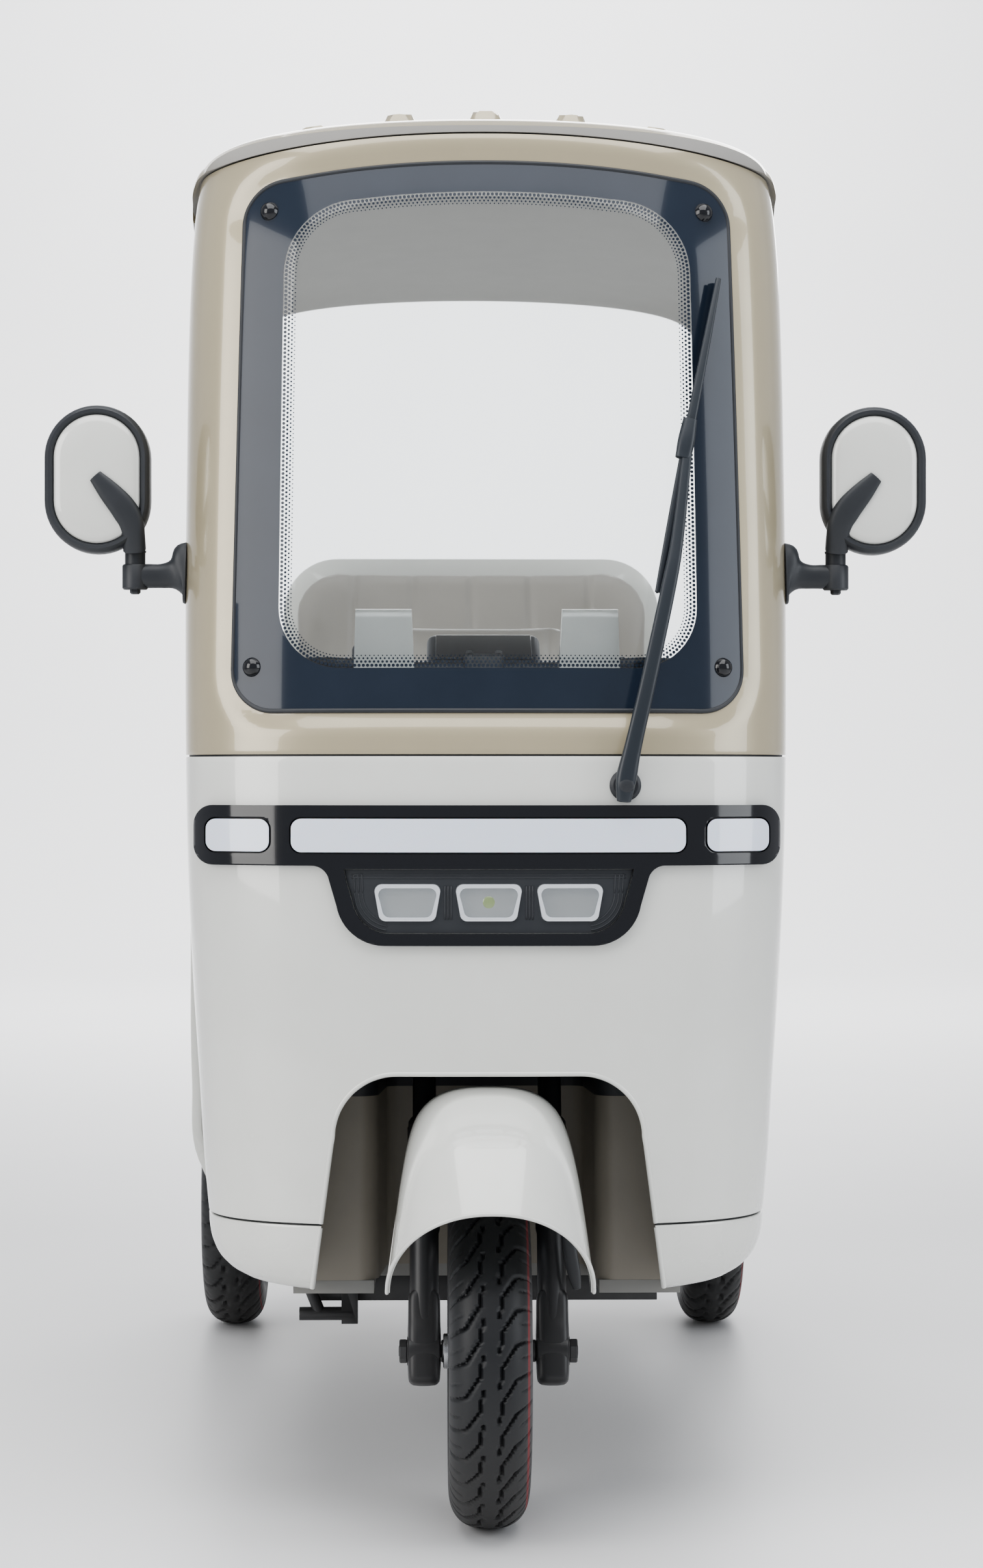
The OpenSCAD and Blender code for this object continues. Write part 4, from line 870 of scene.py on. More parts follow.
def buildLamps():
    lift = lamps["bezelLift"]
    barLine = pillOutline(*lamps["bar"])
    turnLines = [pillOutline(side * lamps["turnX"], lamps["barZ"], *lamps["turn"]) for side in (1, -1)]
    grow = lamps["groove"]
    bezel = lampPatch("bezel", bezelOutline(), lift, lift + 1)
    x, z, w, h, r = lamps["bar"]
    cut(bezel, toFront("hole", pillOutline(x, z, w + 2 * grow, h + 2 * grow, r + grow)))
    w, h, r = lamps["turn"]
    for side in (1, -1):
        cut(bezel, toFront("hole", pillOutline(side * lamps["turnX"], z, w + 2 * grow, h + 2 * grow, r + grow)))
    cut(bezel, toFront("hole", trayOutline(1)))
    rounded(bezel, 2.2, 3, 50)
    bezel.name = "lampBezel"
    finished(smoothed(bezel, 35), "body", "gloss_black", paint["pianoBlack"], "lamp_bezel")

    backing = lampPatch("lampGrooves", pillOutline(0, lamps["barZ"], 2 * lamps["bezelHalf"] - 12, 62, 20), 2.5, 3, 90, 6)
    finished(smoothed(backing, 35), "body", "gloss_black", paint["matt"])

    bar = rounded(lampPatch("lightBar", barLine, lamps["lensLift"], lamps["lensLift"], 110, 10), 4, 4, 50)
    bar.name = "lightBar"
    finished(smoothed(bar, 40), "body", "lamp_diffuser", paint["diffuser"], "light_bar")
    turns = [rounded(lampPatch("turn", line, lamps["lensLift"], lamps["lensLift"], 160, 10), 4, 4, 50) for line in turnLines]
    turns = joined("turnLamps", turns)
    finished(smoothed(turns, 40), "body", "lamp_diffuser", paint["diffuser"], "turn_lamps")

    tray = lampPatch("tray", trayOutline(), 4, 5, 90, 20)
    for index in (-1, 0, 1):
        cut(tray, toFront("hole", lampOutline(index * lamps["lampGap"], 0.6)))
    rounded(tray, 0.8, 2, 50)
    trims = [smoothed(tray, 30)]
    for side in (1, -1):
        for radius in (46, 41, 36):
            course = arc(side * 122, 796, radius, 0 if side > 0 else 180, -82 if side > 0 else 262, 10)
            trims.append(faceTube("etch", course, 0.9, -4.2))
            trims.append(faceTube("etch", [(side * (122 + radius), 798), (side * (123 + radius), 821)], 0.9, -4.2))
        for offset in (-4, 0, 4):
            x = side * lamps["lampGap"] / 2 + offset
            trims.append(faceTube("etch", [(x, 764), (x, 806)], 1.0, -4.2))
    for height in (816, 820):
        trims.append(faceTube("etch", [(x, height) for x in np.linspace(-172, 172, 9)], 0.8, -4.2))
    tray = joined("headlampTray", trims)
    finished(tray, "body", "black_plastic", paint["matt"], "headlamp_tray")

    chrome, glasses, bowls, chips = [], [], [], []
    for index in (-1, 0, 1):
        x = index * lamps["lampGap"]
        ring = lampPatch("ring", lampOutline(x), 7.5, 9, 120, 16)
        cut(ring, toFront("hole", lampOutline(x, -4.6)))
        chrome.append(smoothed(rounded(ring, 1.4, 3, 50), 40))
        rings = []
        for shrink, scale, depth in lamps["bowl"]:
            line = np.array(lampOutline(x, shrink))
            middle = np.mean(line, axis=0)
            line = middle + (line - middle) * scale
            rings.append([(px, float(faceY(px, pz, depth)), pz) for px, pz in line])
        bowl = loftPiece("bowl", rings)
        bowls.append(smoothed(bowl, 50))
        y = float(faceY(x, lamps["lampZ"], 9))
        if index:
            chips.append(boxPiece("chip", (17, 5, 13), (x, y, lamps["lampZ"] - 1), 1.2))
        else:
            dome = [(0, 11), (6, 10), (11, 7), (14, 3), (15, 0), (15, -3), (0, -3)]
            chips.append(smoothed(lathePiece("dome", dome, shift(x, y, lamps["lampZ"]) @ turn(90, "X"), 32), 50))
        glasses.append(smoothed(lampPatch("cover", lampOutline(x, -3.2), 5.6, 1.2, 80, 8), 30))
    chrome = joined("headlampRims", chrome)
    finished(chrome, "body", "lamp_glass", paint["chrome"], "headlamps")
    finished(joined("headlampBowls", bowls), "body", "gloss_black", paint["bowl"])
    finished(chips.pop(1), "body", "lamp_glass", paint["greenLens"]).name = "headlampMiddleLens"
    finished(joined("headlampChips", chips), "body", "lamp_glass", paint["ledChip"])
    finished(joined("headlampCovers", glasses), "body", "screen_glass", paint["lens"])


buildLamps()
print("lamps built")


# Swept bars
def sweptPiece(name, stations, side=(0, 1, 0), power=2.6, count=24, fine=4):
    table = np.array(stations, float)
    steps = np.arange(len(table))
    at = np.linspace(0, len(table) - 1, (len(table) - 1) * fine + 1)
    dense = np.column_stack([along(np.column_stack([steps, table[:, c]]), 1, at) if len(table) > 2
                             else np.interp(at, steps, table[:, c]) for c in range(5)])
    run = np.gradient(dense[:, :3], axis=0)
    run /= np.linalg.norm(run, axis=1)[:, None]
    wide = np.cross(run, np.array(side, float))
    wide /= np.linalg.norm(wide, axis=1)[:, None]
    deep = np.cross(wide, run)
    angles = np.linspace(0, 2 * np.pi, count, endpoint=False)
    cs = np.sign(np.cos(angles)) * np.abs(np.cos(angles)) ** (2 / power)
    sn = np.sign(np.sin(angles)) * np.abs(np.sin(angles)) ** (2 / power)
    rings = [middle[:3] + middle[3] * cs[:, None] * w + middle[4] * sn[:, None] * d
             for middle, w, d in zip(dense, wide, deep)]
    ends = [(rings[0], dense[0, :3], -run[0], min(dense[0, 3:])), (rings[-1], dense[-1, :3], run[-1], min(dense[-1, 3:]))]
    caps = []
    for ring, middle, way, size in ends:
        caps.append([middle + (ring - middle) * (1 - 0.12 * k ** 2) + way * size * 0.09 * k for k in (1, 2)])
    return loftPiece(name, caps[0][::-1] + rings + caps[1])


wiper = {"pivot": (172, 932), "heel": (214, 1176), "tip": (298, 1584)}


def buildWiper():
    def onFace(x, z, lift, wide, deep):
        return x, float(faceY(x, z)) - lift, z, wide, deep

    px, pz = wiper["pivot"]
    hx, hz = wiper["heel"]
    tx, tz = wiper["tip"]
    parts = [sweptPiece("arm", [onFace(px - 3, pz - 20, 20, 9, 7), onFace(px, pz + 8, 22, 13, 9),
                                onFace(px + 9, pz + 50, 25, 11, 6.5), onFace(202, 1070, 27, 10, 6),
                                onFace(228, 1186, 25, 9.5, 5.5), onFace(240, 1250, 21, 8, 5),
                                onFace(256, 1376, 13, 6, 4)])]
    blade = [(hx + (tx - hx) * k / 12, hz + (tz - hz) * k / 12) for k in range(13)]
    parts.append(sweptPiece("spine", [onFace(x, z, 10, 6.2 - 2.6 * abs(k / 6 - 1) ** 2, 3.4)
                                      for k, (x, z) in enumerate(blade)]))
    parts.append(sweptPiece("squeegee", [onFace(x, z, 1.5, 1.5, 6) for x, z in blade], fine=2, count=12))
    parts.append(sweptPiece("clip", [onFace(248, 1348, 12, 10, 6.5), onFace(253, 1372, 12, 11, 7.5),
                                     onFace(258, 1398, 12, 9, 6)]))
    arm = joined("wiperArm", [smoothed(part, 45) for part in parts])
    finished(arm, "body", "black_steel", paint["wiperBlack"], "wiper")
    base = shift(px, float(faceY(px, pz)), pz) @ turn(90, "X")
    boss = [(0, -16), (12.4, -16), (12.4, 1), (19, 1), (20, 2), (20, 4), (17.5, 6), (15.5, 7), (15.5, 12), (0, 12)]
    knob = [(0, 31), (6, 31), (9, 29.5), (10, 27), (10, 20), (0, 20)]
    boss = joined("wiperBoss", [smoothed(lathePiece("boss", boss, base), 40), smoothed(lathePiece("knob", knob, base), 40)])
    finished(boss, "body", "black_plastic", paint["matt"])


buildWiper()
print("wiper built")


# Mirrors
mirrors = {"behind": 178, "x": 508, "low": 1303, "high": 1359, "radius": 69, "post": 460}


def stadiumRing(radius, y, count=28):
    x, low, high = mirrors["x"], mirrors["low"], mirrors["high"]
    ring = arc(x, high, radius, 0, 180, count) + arc(x, low, radius, 180, 360, count)
    return [(px, frontAxleY + mirrors["behind"] - 16 + y, pz) for px, pz in ring]


def buildMirror(name, side, stand):
    radius = mirrors["radius"]
    flip = Matrix.Scale(side, 4, (1, 0, 0))

    def shell(label, profile):
        piece = loftPiece(label, [stadiumRing(radius - inset, y) for inset, y in profile])
        moved(piece, flip)
        return smoothed(weld(piece), 40)

    housing = shell("housing", [(66, -6), (13, -8), (12, -10.5), (9.5, -13.5), (6, -14), (3, -11.5), (0.8, -6), (0, 2),
                                (0, 20), (0.8, 23), (3, 24.6), (5.5, 24), (6.6, 21), (7, 18), (66, 18)])
    y0 = frontAxleY + mirrors["behind"] - 16
    post = mirrors["post"]
    bracket = sweptPiece("bracket", [(post, y0 + 6, 1240, 15, 14), (post + 1, y0 - 2, 1258, 15.5, 13),
                                     (post + 4, y0 - 9, 1276, 17, 11), (post + 14, y0 - 15, 1294, 17, 8),
                                     (post + 32, y0 - 17.5, 1315, 14, 6), (mirrors["x"] + 1, y0 - 18, 1334, 9, 4)])
    moved(bracket, flip)
    housing = joined(name + "Housing", [housing, smoothed(weld(bracket), 45)])
    finished(housing, "body", "black_plastic", paint["matt"], stand)
    cover = shell("cover", [(66, -17), (40, -16.4), (24, -15), (15.5, -12.6), (13.2, -10), (13, -7), (66, -7)])
    cover.name = name + "Cover"
    finished(cover, "body", "cream_paint", paint["cream"])
    face = shell("face", [(66, 22.6), (30, 22.4), (10, 21.6), (7.6, 20.6), (7.2, 19), (66, 19)])
    face.name = name + "Glass"
    finished(face, "body", "screen_glass", paint["mirror"])


def buildMirrorArms():
    parts = []
    y = frontAxleY + mirrors["behind"]
    post = mirrors["post"]
    for side in (1, -1):
        flip = Matrix.Scale(side, 4, (1, 0, 0))
        arm = sweptPiece("arm", [(393, y, 1210, 41, 22), (400, y, 1210, 37, 20), (410, y, 1208, 20, 15),
                                 (426, y, 1206, 16, 13), (444, y, 1206, 16, 14), (post, y, 1206, 15, 15)])
        collar = [(0, 1188), (15, 1188), (17, 1190), (17, 1219), (15.5, 1221), (13.5, 1221), (13.5, 1236), (14.5, 1237),
                  (14.5, 1239), (0, 1239)]
        neck = lathePiece("neck", collar, shift(post, y, 0), 36)
        bolt = lathePiece("bolt", [(0, 1182), (5, 1182), (7, 1184), (7, 1189), (0, 1189)], shift(post, y, 0), 6)
        for part in (arm, neck, bolt):
            parts.append(smoothed(weld(moved(part, flip)), 40))
    arms = joined("mirrorArms", parts)
    finished(arms, "body", "black_plastic", paint["matt"], "mirror_arms")


buildMirror("mirrorLeft", 1, "mirror_left")
buildMirror("mirrorRight", -1, "mirror_right")
buildMirrorArms()
print("mirrors built")


# Copies of plain CAD pieces with their edges eased
def dressed(nodeName, label, edge, body, slotName, material, angle=40):
    source = cadNodes[nodeName]
    piece = bpy.data.objects.new(label, source.data.copy())
    bpy.context.scene.collection.objects.link(piece)
    pick(piece)
    bpy.ops.object.mode_set(mode="EDIT")
    bpy.ops.mesh.select_all(action="SELECT")
    bpy.ops.mesh.remove_doubles(threshold=0.00002)
    bpy.ops.mesh.dissolve_limited(angle_limit=math.radians(1.5))
    bpy.ops.object.mode_set(mode="OBJECT")
    if edge:
        rounded(piece, edge, 2, angle)
    smoothed(piece, 35)
    finished(piece, body, slotName, material, nodeName)
    return piece


# Front mudguard
guard = {
    "table": [(34, 334.6, 126, 164, 0.92, 4), (48, 335, 120, 150, 0.86, 2), (62, 336, 114, 134, 0.8, 0),
              (78, 335, 107, 115, 0.76, 0), (94, 333, 101, 98, 0.74, 0), (108, 326, 98, 86, 0.74, 0),
              (122, 318, 95, 76, 0.74, 0)],
    "thickness": 3.5, "lip": 2.6,
}


def guardSpot(u, angle, inset=0.0):
    turns = np.linspace(0, np.pi, 2001)
    xs = 110 * np.sign(np.cos(turns)) * np.abs(np.cos(turns)) ** 0.82
    ys = 125 * np.sin(turns) ** 0.82
    length = np.concatenate([[0], np.cumsum(np.hypot(np.diff(xs), np.diff(ys)))])
    a = np.interp(u * length[-1], length, turns[::-1])
    radius, wide, deep, square, lean = (along(guard["table"], column, angle) for column in (1, 2, 3, 4, 5))
    r = radius - inset - (deep - inset) * (1 - np.abs(np.sin(a)) ** square)
    x = (wide - inset) * np.sign(np.cos(a)) * np.abs(np.cos(a)) ** square
    bend = np.radians(angle + lean * np.sin(a))
    return x, frontAxleY - r * np.cos(bend), tyreRadius + r * np.sin(bend)


def buildMudguard():
    low, high = guard["table"][0][0], guard["table"][-1][0]
    skin = gridPiece("mudguard", 90, 44, lambda u, v: guardSpot(u, low + v * (high - low)))
    weld(skin)
    applied(skin, "SOLIDIFY", thickness=guard["thickness"] / 1000, offset=-1)
    for side in (-1, 1):
        leg = lathePiece("leg", [(0, 100), (21.5, 100), (21.5, 360), (0, 360)],
                         shift(side * 81, frontAxleY, tyreRadius) @ turn(-20, "X"), 40)
        cut(skin, leg)
    edge = [guardSpot(np.array([0.0]), np.array([low + t * (high - low)])) for t in np.linspace(0, 1, 14)][::-1]
    edge += [guardSpot(np.array([t]), np.array([float(low)])) for t in np.linspace(0, 1, 40)[1:]]
    edge += [guardSpot(np.array([1.0]), np.array([low + t * (high - low)])) for t in np.linspace(0, 1, 14)[1:]]
    lip = tubePiece("lip", [[float(c[0]) for c in spot] for spot in edge], guard["lip"])
    skin = joined("mudguard", [smoothed(skin, 40), smoothed(lip, 60)])
    finished(skin, "steering", "cream_paint", paint["cream"], "mudguard")


buildMudguard()
print("mudguard built")


# Tyres and rims
tyre = {"bead": 127, "beadHalf": 28.7, "crown": 58, "pitches": 32, "groove": 5.0,
        "path": [(54, 11), (30, 0), (14, -26), (10, -52)], "sipe": [(52, 33), (37, 27)]}


def pathDistance(t, s, path, pitch):
    best = np.full(t.shape, 1e9)
    for (ax, ay), (bx, by) in zip(path[:-1], path[1:]):
        for step in range(-3, 4):
            dx, dy = bx - ax, by - ay
            px, py = t - ax, s - ay - step * pitch
            share = np.clip((px * dx + py * dy) / (dx * dx + dy * dy), 0, 1)
            best = np.minimum(best, np.hypot(px - share * dx, py - share * dy))
    return best


def treadDepth(t, around):
    pitch = 2 * math.pi * tyreRadius / tyre["pitches"]
    s = np.mod(-around * tyreRadius, pitch)
    flip = [(-x, pitch / 2 - y) for x, y in tyre["path"]]
    flipSipe = [(-x, pitch / 2 - y) for x, y in tyre["sipe"]]
    main = np.minimum(pathDistance(t, s, tyre["path"], pitch), pathDistance(t, s, flip, pitch))
    sipe = np.minimum(pathDistance(t, s, tyre["sipe"], pitch), pathDistance(t, s, flipSipe, pitch))
    depth = tyre["groove"] * (1 - smoothStep(1.0, 2.5, main))
    return np.maximum(depth, 2.6 * (1 - smoothStep(0.6, 1.7, sipe)))


def buildTyre(name, x, y, body, stand, columns, rows):
    turns = np.linspace(0, np.pi, 1201)
    outer = np.column_stack([tyreRadius - tyre["crown"] + tyre["crown"] * np.sin(turns) ** 0.72,
                             tyreHalf * np.sign(np.cos(turns)) * np.abs(np.cos(turns)) ** 0.8])
    bead, half = tyre["bead"], tyre["beadHalf"]
    section = np.vstack([[bead, half], [bead + 9.3, half], outer, [bead + 9.3, -half], [bead, -half]])
    length = np.concatenate([[0], np.cumsum(np.linalg.norm(np.diff(section, axis=0), axis=1))])
    even = np.linspace(0, length[-1], rows - 1)
    profile = np.column_stack([np.interp(even, length, section[:, 0]), np.interp(even, length, section[:, 1])])
    profile = np.vstack([profile, [bead, 0], profile[0]])

    def place(u, v):
        row = np.rint(v * rows).astype(int)
        r, t = profile[row, 0], profile[row, 1]
        around = 2 * np.pi * u
        onTread = smoothStep(tyreRadius - 44, tyreRadius - 30, r)
        depth = treadDepth(t, around) * onTread
        side = np.exp(-((r - 150) / 2.2) ** 2) + 0.7 * np.exp(-((r - 143) / 1.2) ** 2) + 0.5 * np.exp(-((r - 168) / 1) ** 2)
        t = t + np.sign(t) * side * 1.0 * (r > bead + 10)
        return x + t, y - (r - depth) * np.sin(around), tyreRadius + (r - depth) * np.cos(around)

    piece = weld(gridPiece(name, columns, rows, place), 0.02)
    finished(smoothed(piece, 50), body, "tyre_rubber", [paint["rubber"], paint["redLine"]], stand)
    centres = np.empty(len(piece.data.polygons) * 3)
    piece.data.polygons.foreach_get("center", centres)
    centres = centres.reshape(-1, 3) * 1000
    t = centres[:, 0] - x
    r = np.hypot(centres[:, 1] - y, centres[:, 2] - tyreRadius)
    red = (np.abs(t - 45.5) < 1.0) & (r > tyreRadius - 40)
    piece.data.polygons.foreach_set("material_index", red.astype(int))


def buildRim(name, x, y, body, stand, bore, hubHalf):
    base = shift(x, y, tyreRadius) @ turn(90, "Y")
    barrel = [(126.6, -28.8), (135.6, -28.8), (136, -29.6), (136, -31), (135, -32), (118, -32), (108, -26), (101.5, -18),
              (101, -12), (101, 12), (101.5, 18), (108, 26), (118, 32), (135, 32), (136, 31), (136, 29.6), (135.6, 28.8),
              (126.6, 28.8), (121, 24), (108, 14.5), (107, 12), (107, -12), (108, -14.5), (121, -24), (126.6, -28.8)]
    parts = [smoothed(lathePiece("barrel", barrel, base, 96), 30)]
    h = hubHalf
    hub = [(bore, -h), (20, -h), (22, -h + 2), (22, -h + 10), (30, -h + 14), (45, -22), (46, -18), (46, 18), (45, 22),
           (30, h - 14), (22, h - 10), (22, h - 2), (20, h), (bore, h), (bore, -h)]
    parts.append(smoothed(lathePiece("hub", hub, base, 48), 30))
    for index in range(10):
        spoke = sweptPiece("spoke", [(40, 0, 0, 13, 11), (62, 0, 0, 9, 8), (88, 0, 0, 8, 8), (105, 0, 0, 12, 11)],
                           (0, 0, 1), 3, 16, 3)
        parts.append(smoothed(moved(spoke, base @ turn(36 * index, "Z")), 50))
    for index in range(5):
        bolt = lathePiece("bolt", [(0, 27), (4, 27), (5.6, 25.5), (5.6, 18), (0, 18)],
                          base @ turn(72 * index, "Z") @ shift(35, 0, 0), 6)
        parts.append(bolt)
    valve = lathePiece("valve", [(0, 26), (2.4, 26), (2.8, 24), (2.8, 6), (4.5, 3), (4.5, -4), (0, -4)],
                       base @ shift(100, 0, 12) @ turn(-60, "Y"), 12)
    parts.append(smoothed(valve, 40))
    finished(joined(name, parts), body, "cast_alloy", paint["alloy"], stand)


buildTyre("frontTyre", 0, frontAxleY, "front_wheel", "front_tyre", 720, 84)
buildTyre("rearTyreLeft", rearWheelX, rearAxleY, "rear_wheel_left", "rear_tyre_left", 360, 52)
buildTyre("rearTyreRight", -rearWheelX, rearAxleY, "rear_wheel_right", "rear_tyre_right", 360, 52)
buildRim("frontRim", 0, frontAxleY, "front_wheel", "front_rim", 8.2, 48)
buildRim("rearRimLeft", rearWheelX, rearAxleY, "rear_wheel_left", "rear_rim_left", 12.2, 28)
buildRim("rearRimRight", -rearWheelX, rearAxleY, "rear_wheel_right", "rear_rim_right", 12.2, 28)
print("wheels built")


# Fork, axle and handlebar, placed along the steering axis
steering = {"legX": 81, "crown": 446, "barAt": 938.2, "barHalf": 185, "gripLength": 125, "barLength": 620}
axisY = frontAxleY + forkOffset * math.cos(rake)
axisZ = tyreRadius - forkOffset * math.sin(rake)


def onAxis(height=0.0):
    return shift(0, axisY, axisZ) @ turn(-20, "X") @ shift(0, 0, height)


def onLeg(side):
    return shift(side * steering["legX"], frontAxleY, tyreRadius) @ turn(-20, "X")


def buildFork():
    parts = []
    leg = [(0, -24), (13, -24), (18.4, -20), (18.4, 150), (20, 156), (20, 262),
           (21.6, 266), (21.6, 288), (20.5, 290), (20.5, 296), (17.5, 301), (15.6, 302), (15, 303), (15, 452), (0, 452)]
    for side in (-1, 1):
        parts.append(smoothed(lathePiece("leg", leg, onLeg(side), 48), 32))
        foot = sweptPiece("foot", [(0, 0, -40, 15, 17), (0, 0, -34, 18, 20), (0, 0, -8, 20, 21), (0, 0, 22, 20, 21),
                                   (0, 0, 40, 18, 20.5), (0, 0, 66, 17, 20), (0, 0, 74, 16, 17)], (1, 0, 0), 4, 32)
        parts.append(smoothed(moved(foot, onLeg(side)), 40))
        across = shift(side * steering["legX"], frontAxleY, tyreRadius) @ turn(90, "Y")
        clamp = [(8.1, -21), (16, -21), (20.5, -19), (21, -16), (21, 16), (20.5, 19), (16, 21), (8.1, 21), (8.1, -21)]
        parts.append(smoothed(lathePiece("clamp", clamp, across, 40), 35))
        for level in (-22, 22):
            bolt = lathePiece("bolt", [(0, -29), (5, -29), (6, -27.5), (6, -22), (8, -21.5), (8, -19), (0, -19)],
                              onLeg(side) @ shift(0, 0, level) @ turn(-90, "X") @ Matrix.Scale(-1, 4, (0, 0, 1)), 6)
            parts.append(weld(bolt))
    outline = (arc(81, -34, 20, -90, 65, 12) + arc(0, 0, 26, 65, 115, 6) + arc(-81, -34, 20, 115, 270, 12))
    crown = rounded(prismPiece("crown", outline, steering["crown"] - 16, steering["crown"] + 14, "Z"), 3, 3, 50)
    parts.append(smoothed(moved(crown, onAxis()), 35))
    stem = [(0, 440), (16, 440), (16, 905), (14, 915), (14, 925), (0, 925)]
    parts.append(smoothed(lathePiece("stem", stem, onAxis(), 40), 35))
    finished(joined("fork", parts), "steering", "black_steel", paint["steel"], "fork")

    across = shift(0, frontAxleY, tyreRadius) @ turn(90, "Y")
    shaft = [(0, -113), (6, -113), (8, -111), (8, 111), (6, 113), (0, 113)]
    parts = [smoothed(lathePiece("shaft", shaft, across, 32), 35)]
    for side in (-1, 1):
        flip = Matrix.Scale(side, 4, (1, 0, 0))
        nut = [(8, 102.3), (14, 102.3), (15, 103.5), (15, 111), (13.6, 112.3), (8, 112.3), (8, 102.3)]
        washer = [(8, 101), (18, 101), (18, 102.4), (8, 102.4), (8, 101)]
        spacer = [(8, 49), (13, 49), (14, 50), (14, 58.6), (13, 59.6), (8, 59.6), (8, 49)]
        parts.append(weld(moved(lathePiece("nut", nut, across, 6), flip)))
        parts.append(smoothed(weld(moved(lathePiece("washer", washer, across, 32), flip)), 35))
        parts.append(smoothed(weld(moved(lathePiece("spacer", spacer, across, 32), flip)), 35))
    finished(joined("frontAxle", parts), "steering", "black_steel", paint["steel"], "front_axle")
    plate = [(14.2, 50.5), (21, 50.5), (22, 51.5), (22, 56), (21, 57), (14.2, 57), (14.2, 50.5)]
    plate = weld(moved(lathePiece("brakePlate", plate, across, 48), Matrix.Scale(-1, 4, (1, 0, 0))))
    finished(smoothed(plate, 35), "steering", "bright_steel", paint["bright"])
    y = frontAxleY
    stay = sweptPiece("hoseGuide", [(96, y + 17, 384, 4, 5), (100, y + 14, 366, 4, 8), (104, y + 10, 338, 4, 9),
                                    (109, y + 7, 312, 4, 8), (112, y + 6, 296, 4, 5)], (1, 0, 0), 2.6, 20)
    finished(smoothed(stay, 40), "steering", "black_plastic", paint["matt"])


def buildHandlebar():
    base = onAxis(steering["barAt"])
    half = steering["barLength"] / 2
    grip = steering["gripLength"]
    bar = [(0, -half + 4), (11, -half + 4), (11, half - 4), (0, half - 4)]
    parts = [smoothed(lathePiece("bar", bar, base @ turn(90, "Y"), 32), 35)]
    parts.append(boxPiece("clamp", (56, 44, 34), (0, 0, 0), 6, segments=3))
    moved(parts[-1], base)
    for x in (-20, 20):
        for y in (-15, 15):
            parts.append(lathePiece("bolt", [(0, 16), (4.4, 16), (5, 17), (5, 21), (0, 21)], base @ shift(x, y, 0), 6))
    grips, reds = [], []
    for side in (-1, 1):
        middle = side * (half - grip / 2)
        ribs = []
        for index in range(14):
            at = -grip / 2 + 10 + index * 7.6
            ribs += [(15.4, at), (16.6, at + 1.4), (16.6, at + 4.4), (15.4, at + 5.8)]
        profile = [(0, -grip / 2), (17, -grip / 2), (18.5, -grip / 2 + 2), (18.5, -grip / 2 + 6), (15.4, -grip / 2 + 8)]
        profile += ribs + [(15.4, grip / 2 - 6), (17.5, grip / 2 - 4), (17.5, grip / 2 - 1), (14, grip / 2), (0, grip / 2)]
        grips.append(smoothed(lathePiece("grip", profile, base @ shift(middle, 0, 0) @ turn(90, "Y"), 40), 35))
        boxX = side * (half - grip - 30)
        box = boxPiece("switchBox", (50, 44, 60), (0, 0, 0), 9, segments=4)
        grips.append(smoothed(moved(box, base @ shift(boxX, 0, 2)), 40))
        for index, (dx, dz) in enumerate(((-10, 16), (10, 16), (0, -2), (0, -18))):
            knob = boxPiece("button", (14, 7, 11) if index < 2 else (20, 7, 9), (0, 0, 0), 2.2)
            (reds if index % 2 == (side > 0) else grips).append(moved(knob, base @ shift(boxX + dx, 22.5, 2 + dz)))
        lever = sweptPiece("lever", [(0, 0, 0, 8, 8), (side * 20, -10, 0, 8, 6), (side * 60, -14, 1, 7.5, 5),
                                     (side * 120, -4, 3, 7, 4.6), (side * 156, 0, 4, 8.5, 5)], (0, 1, 0), 2.4, 16)
        parts.append(smoothed(moved(lever, base @ shift(side * (half - grip - 22), -20, -4)), 45))
    finished(joined("handlebar", parts), "steering", "black_steel", paint["steel"], "handlebar")
    finished(joined("handlebarGrips", grips), "steering", "black_plastic", paint["matt"])
    finished(joined("handlebarButtons", reds), "steering", "black_plastic", paint["orange"])


buildFork()
buildHandlebar()
print("steering built")


# Rear body, pillars and chassis
tub = {
    "table": [(292, 436, 50), (330, 452, 22), (450, 460, 6), (650, 462, 0), (820, 460, 4), (900, 452, 14), (918, 446, 22)],
    "start": -372, "end": 312, "corner": 190, "power": 0.62, "wall": 16, "arch": 253, "houseX": 318, "share": 0.3,
    "pillars": [(918.3, 437, 1640, 190), (1000, 434, 1610, 140), (1200, 428, 1565, 110), (1450, 418, 1510, 104),
                (1620, 408, 1480, 124), (1699.7, 400, 1462, 170)],
}
tubAngle = evenAngles(460, tub["corner"], 2 / tub["power"])


def tubSpot(u, z, inset=0.0):
    wide = along(tub["table"], 1, z) - inset
    back = rearAxleY + tub["end"] - along(tub["table"], 2, z) - inset
    share, deep = tub["share"], tub["corner"]
    a = tubAngle(np.clip((u - share) / (1 - 2 * share), 0, 1))
    x = wide * np.sign(np.cos(a)) * np.abs(np.cos(a)) ** tub["power"]
    y = back - deep + deep * np.abs(np.sin(a)) ** tub["power"]
    side = np.clip(np.maximum(share - u, u - 1 + share) / share, 0, 1)
    return x, y + side * (rearAxleY + tub["start"] - back + deep), z


def tubSideX(y, z):
    wide = along(tub["table"], 1, z)
    back = rearAxleY + tub["end"] - along(tub["table"], 2, z)
    past = np.clip((y - back + tub["corner"]) / tub["corner"], 0, 1)
    return wide * (1 - past ** (2 / tub["power"])) ** (tub["power"] / 2)


def tubBackY(x, z):
    wide = along(tub["table"], 1, z)
    back = rearAxleY + tub["end"] - along(tub["table"], 2, z)
    flat = np.clip(np.abs(x) / wide, 0, 1)
    return back - tub["corner"] + tub["corner"] * (1 - flat ** (2 / tub["power"])) ** (tub["power"] / 2)


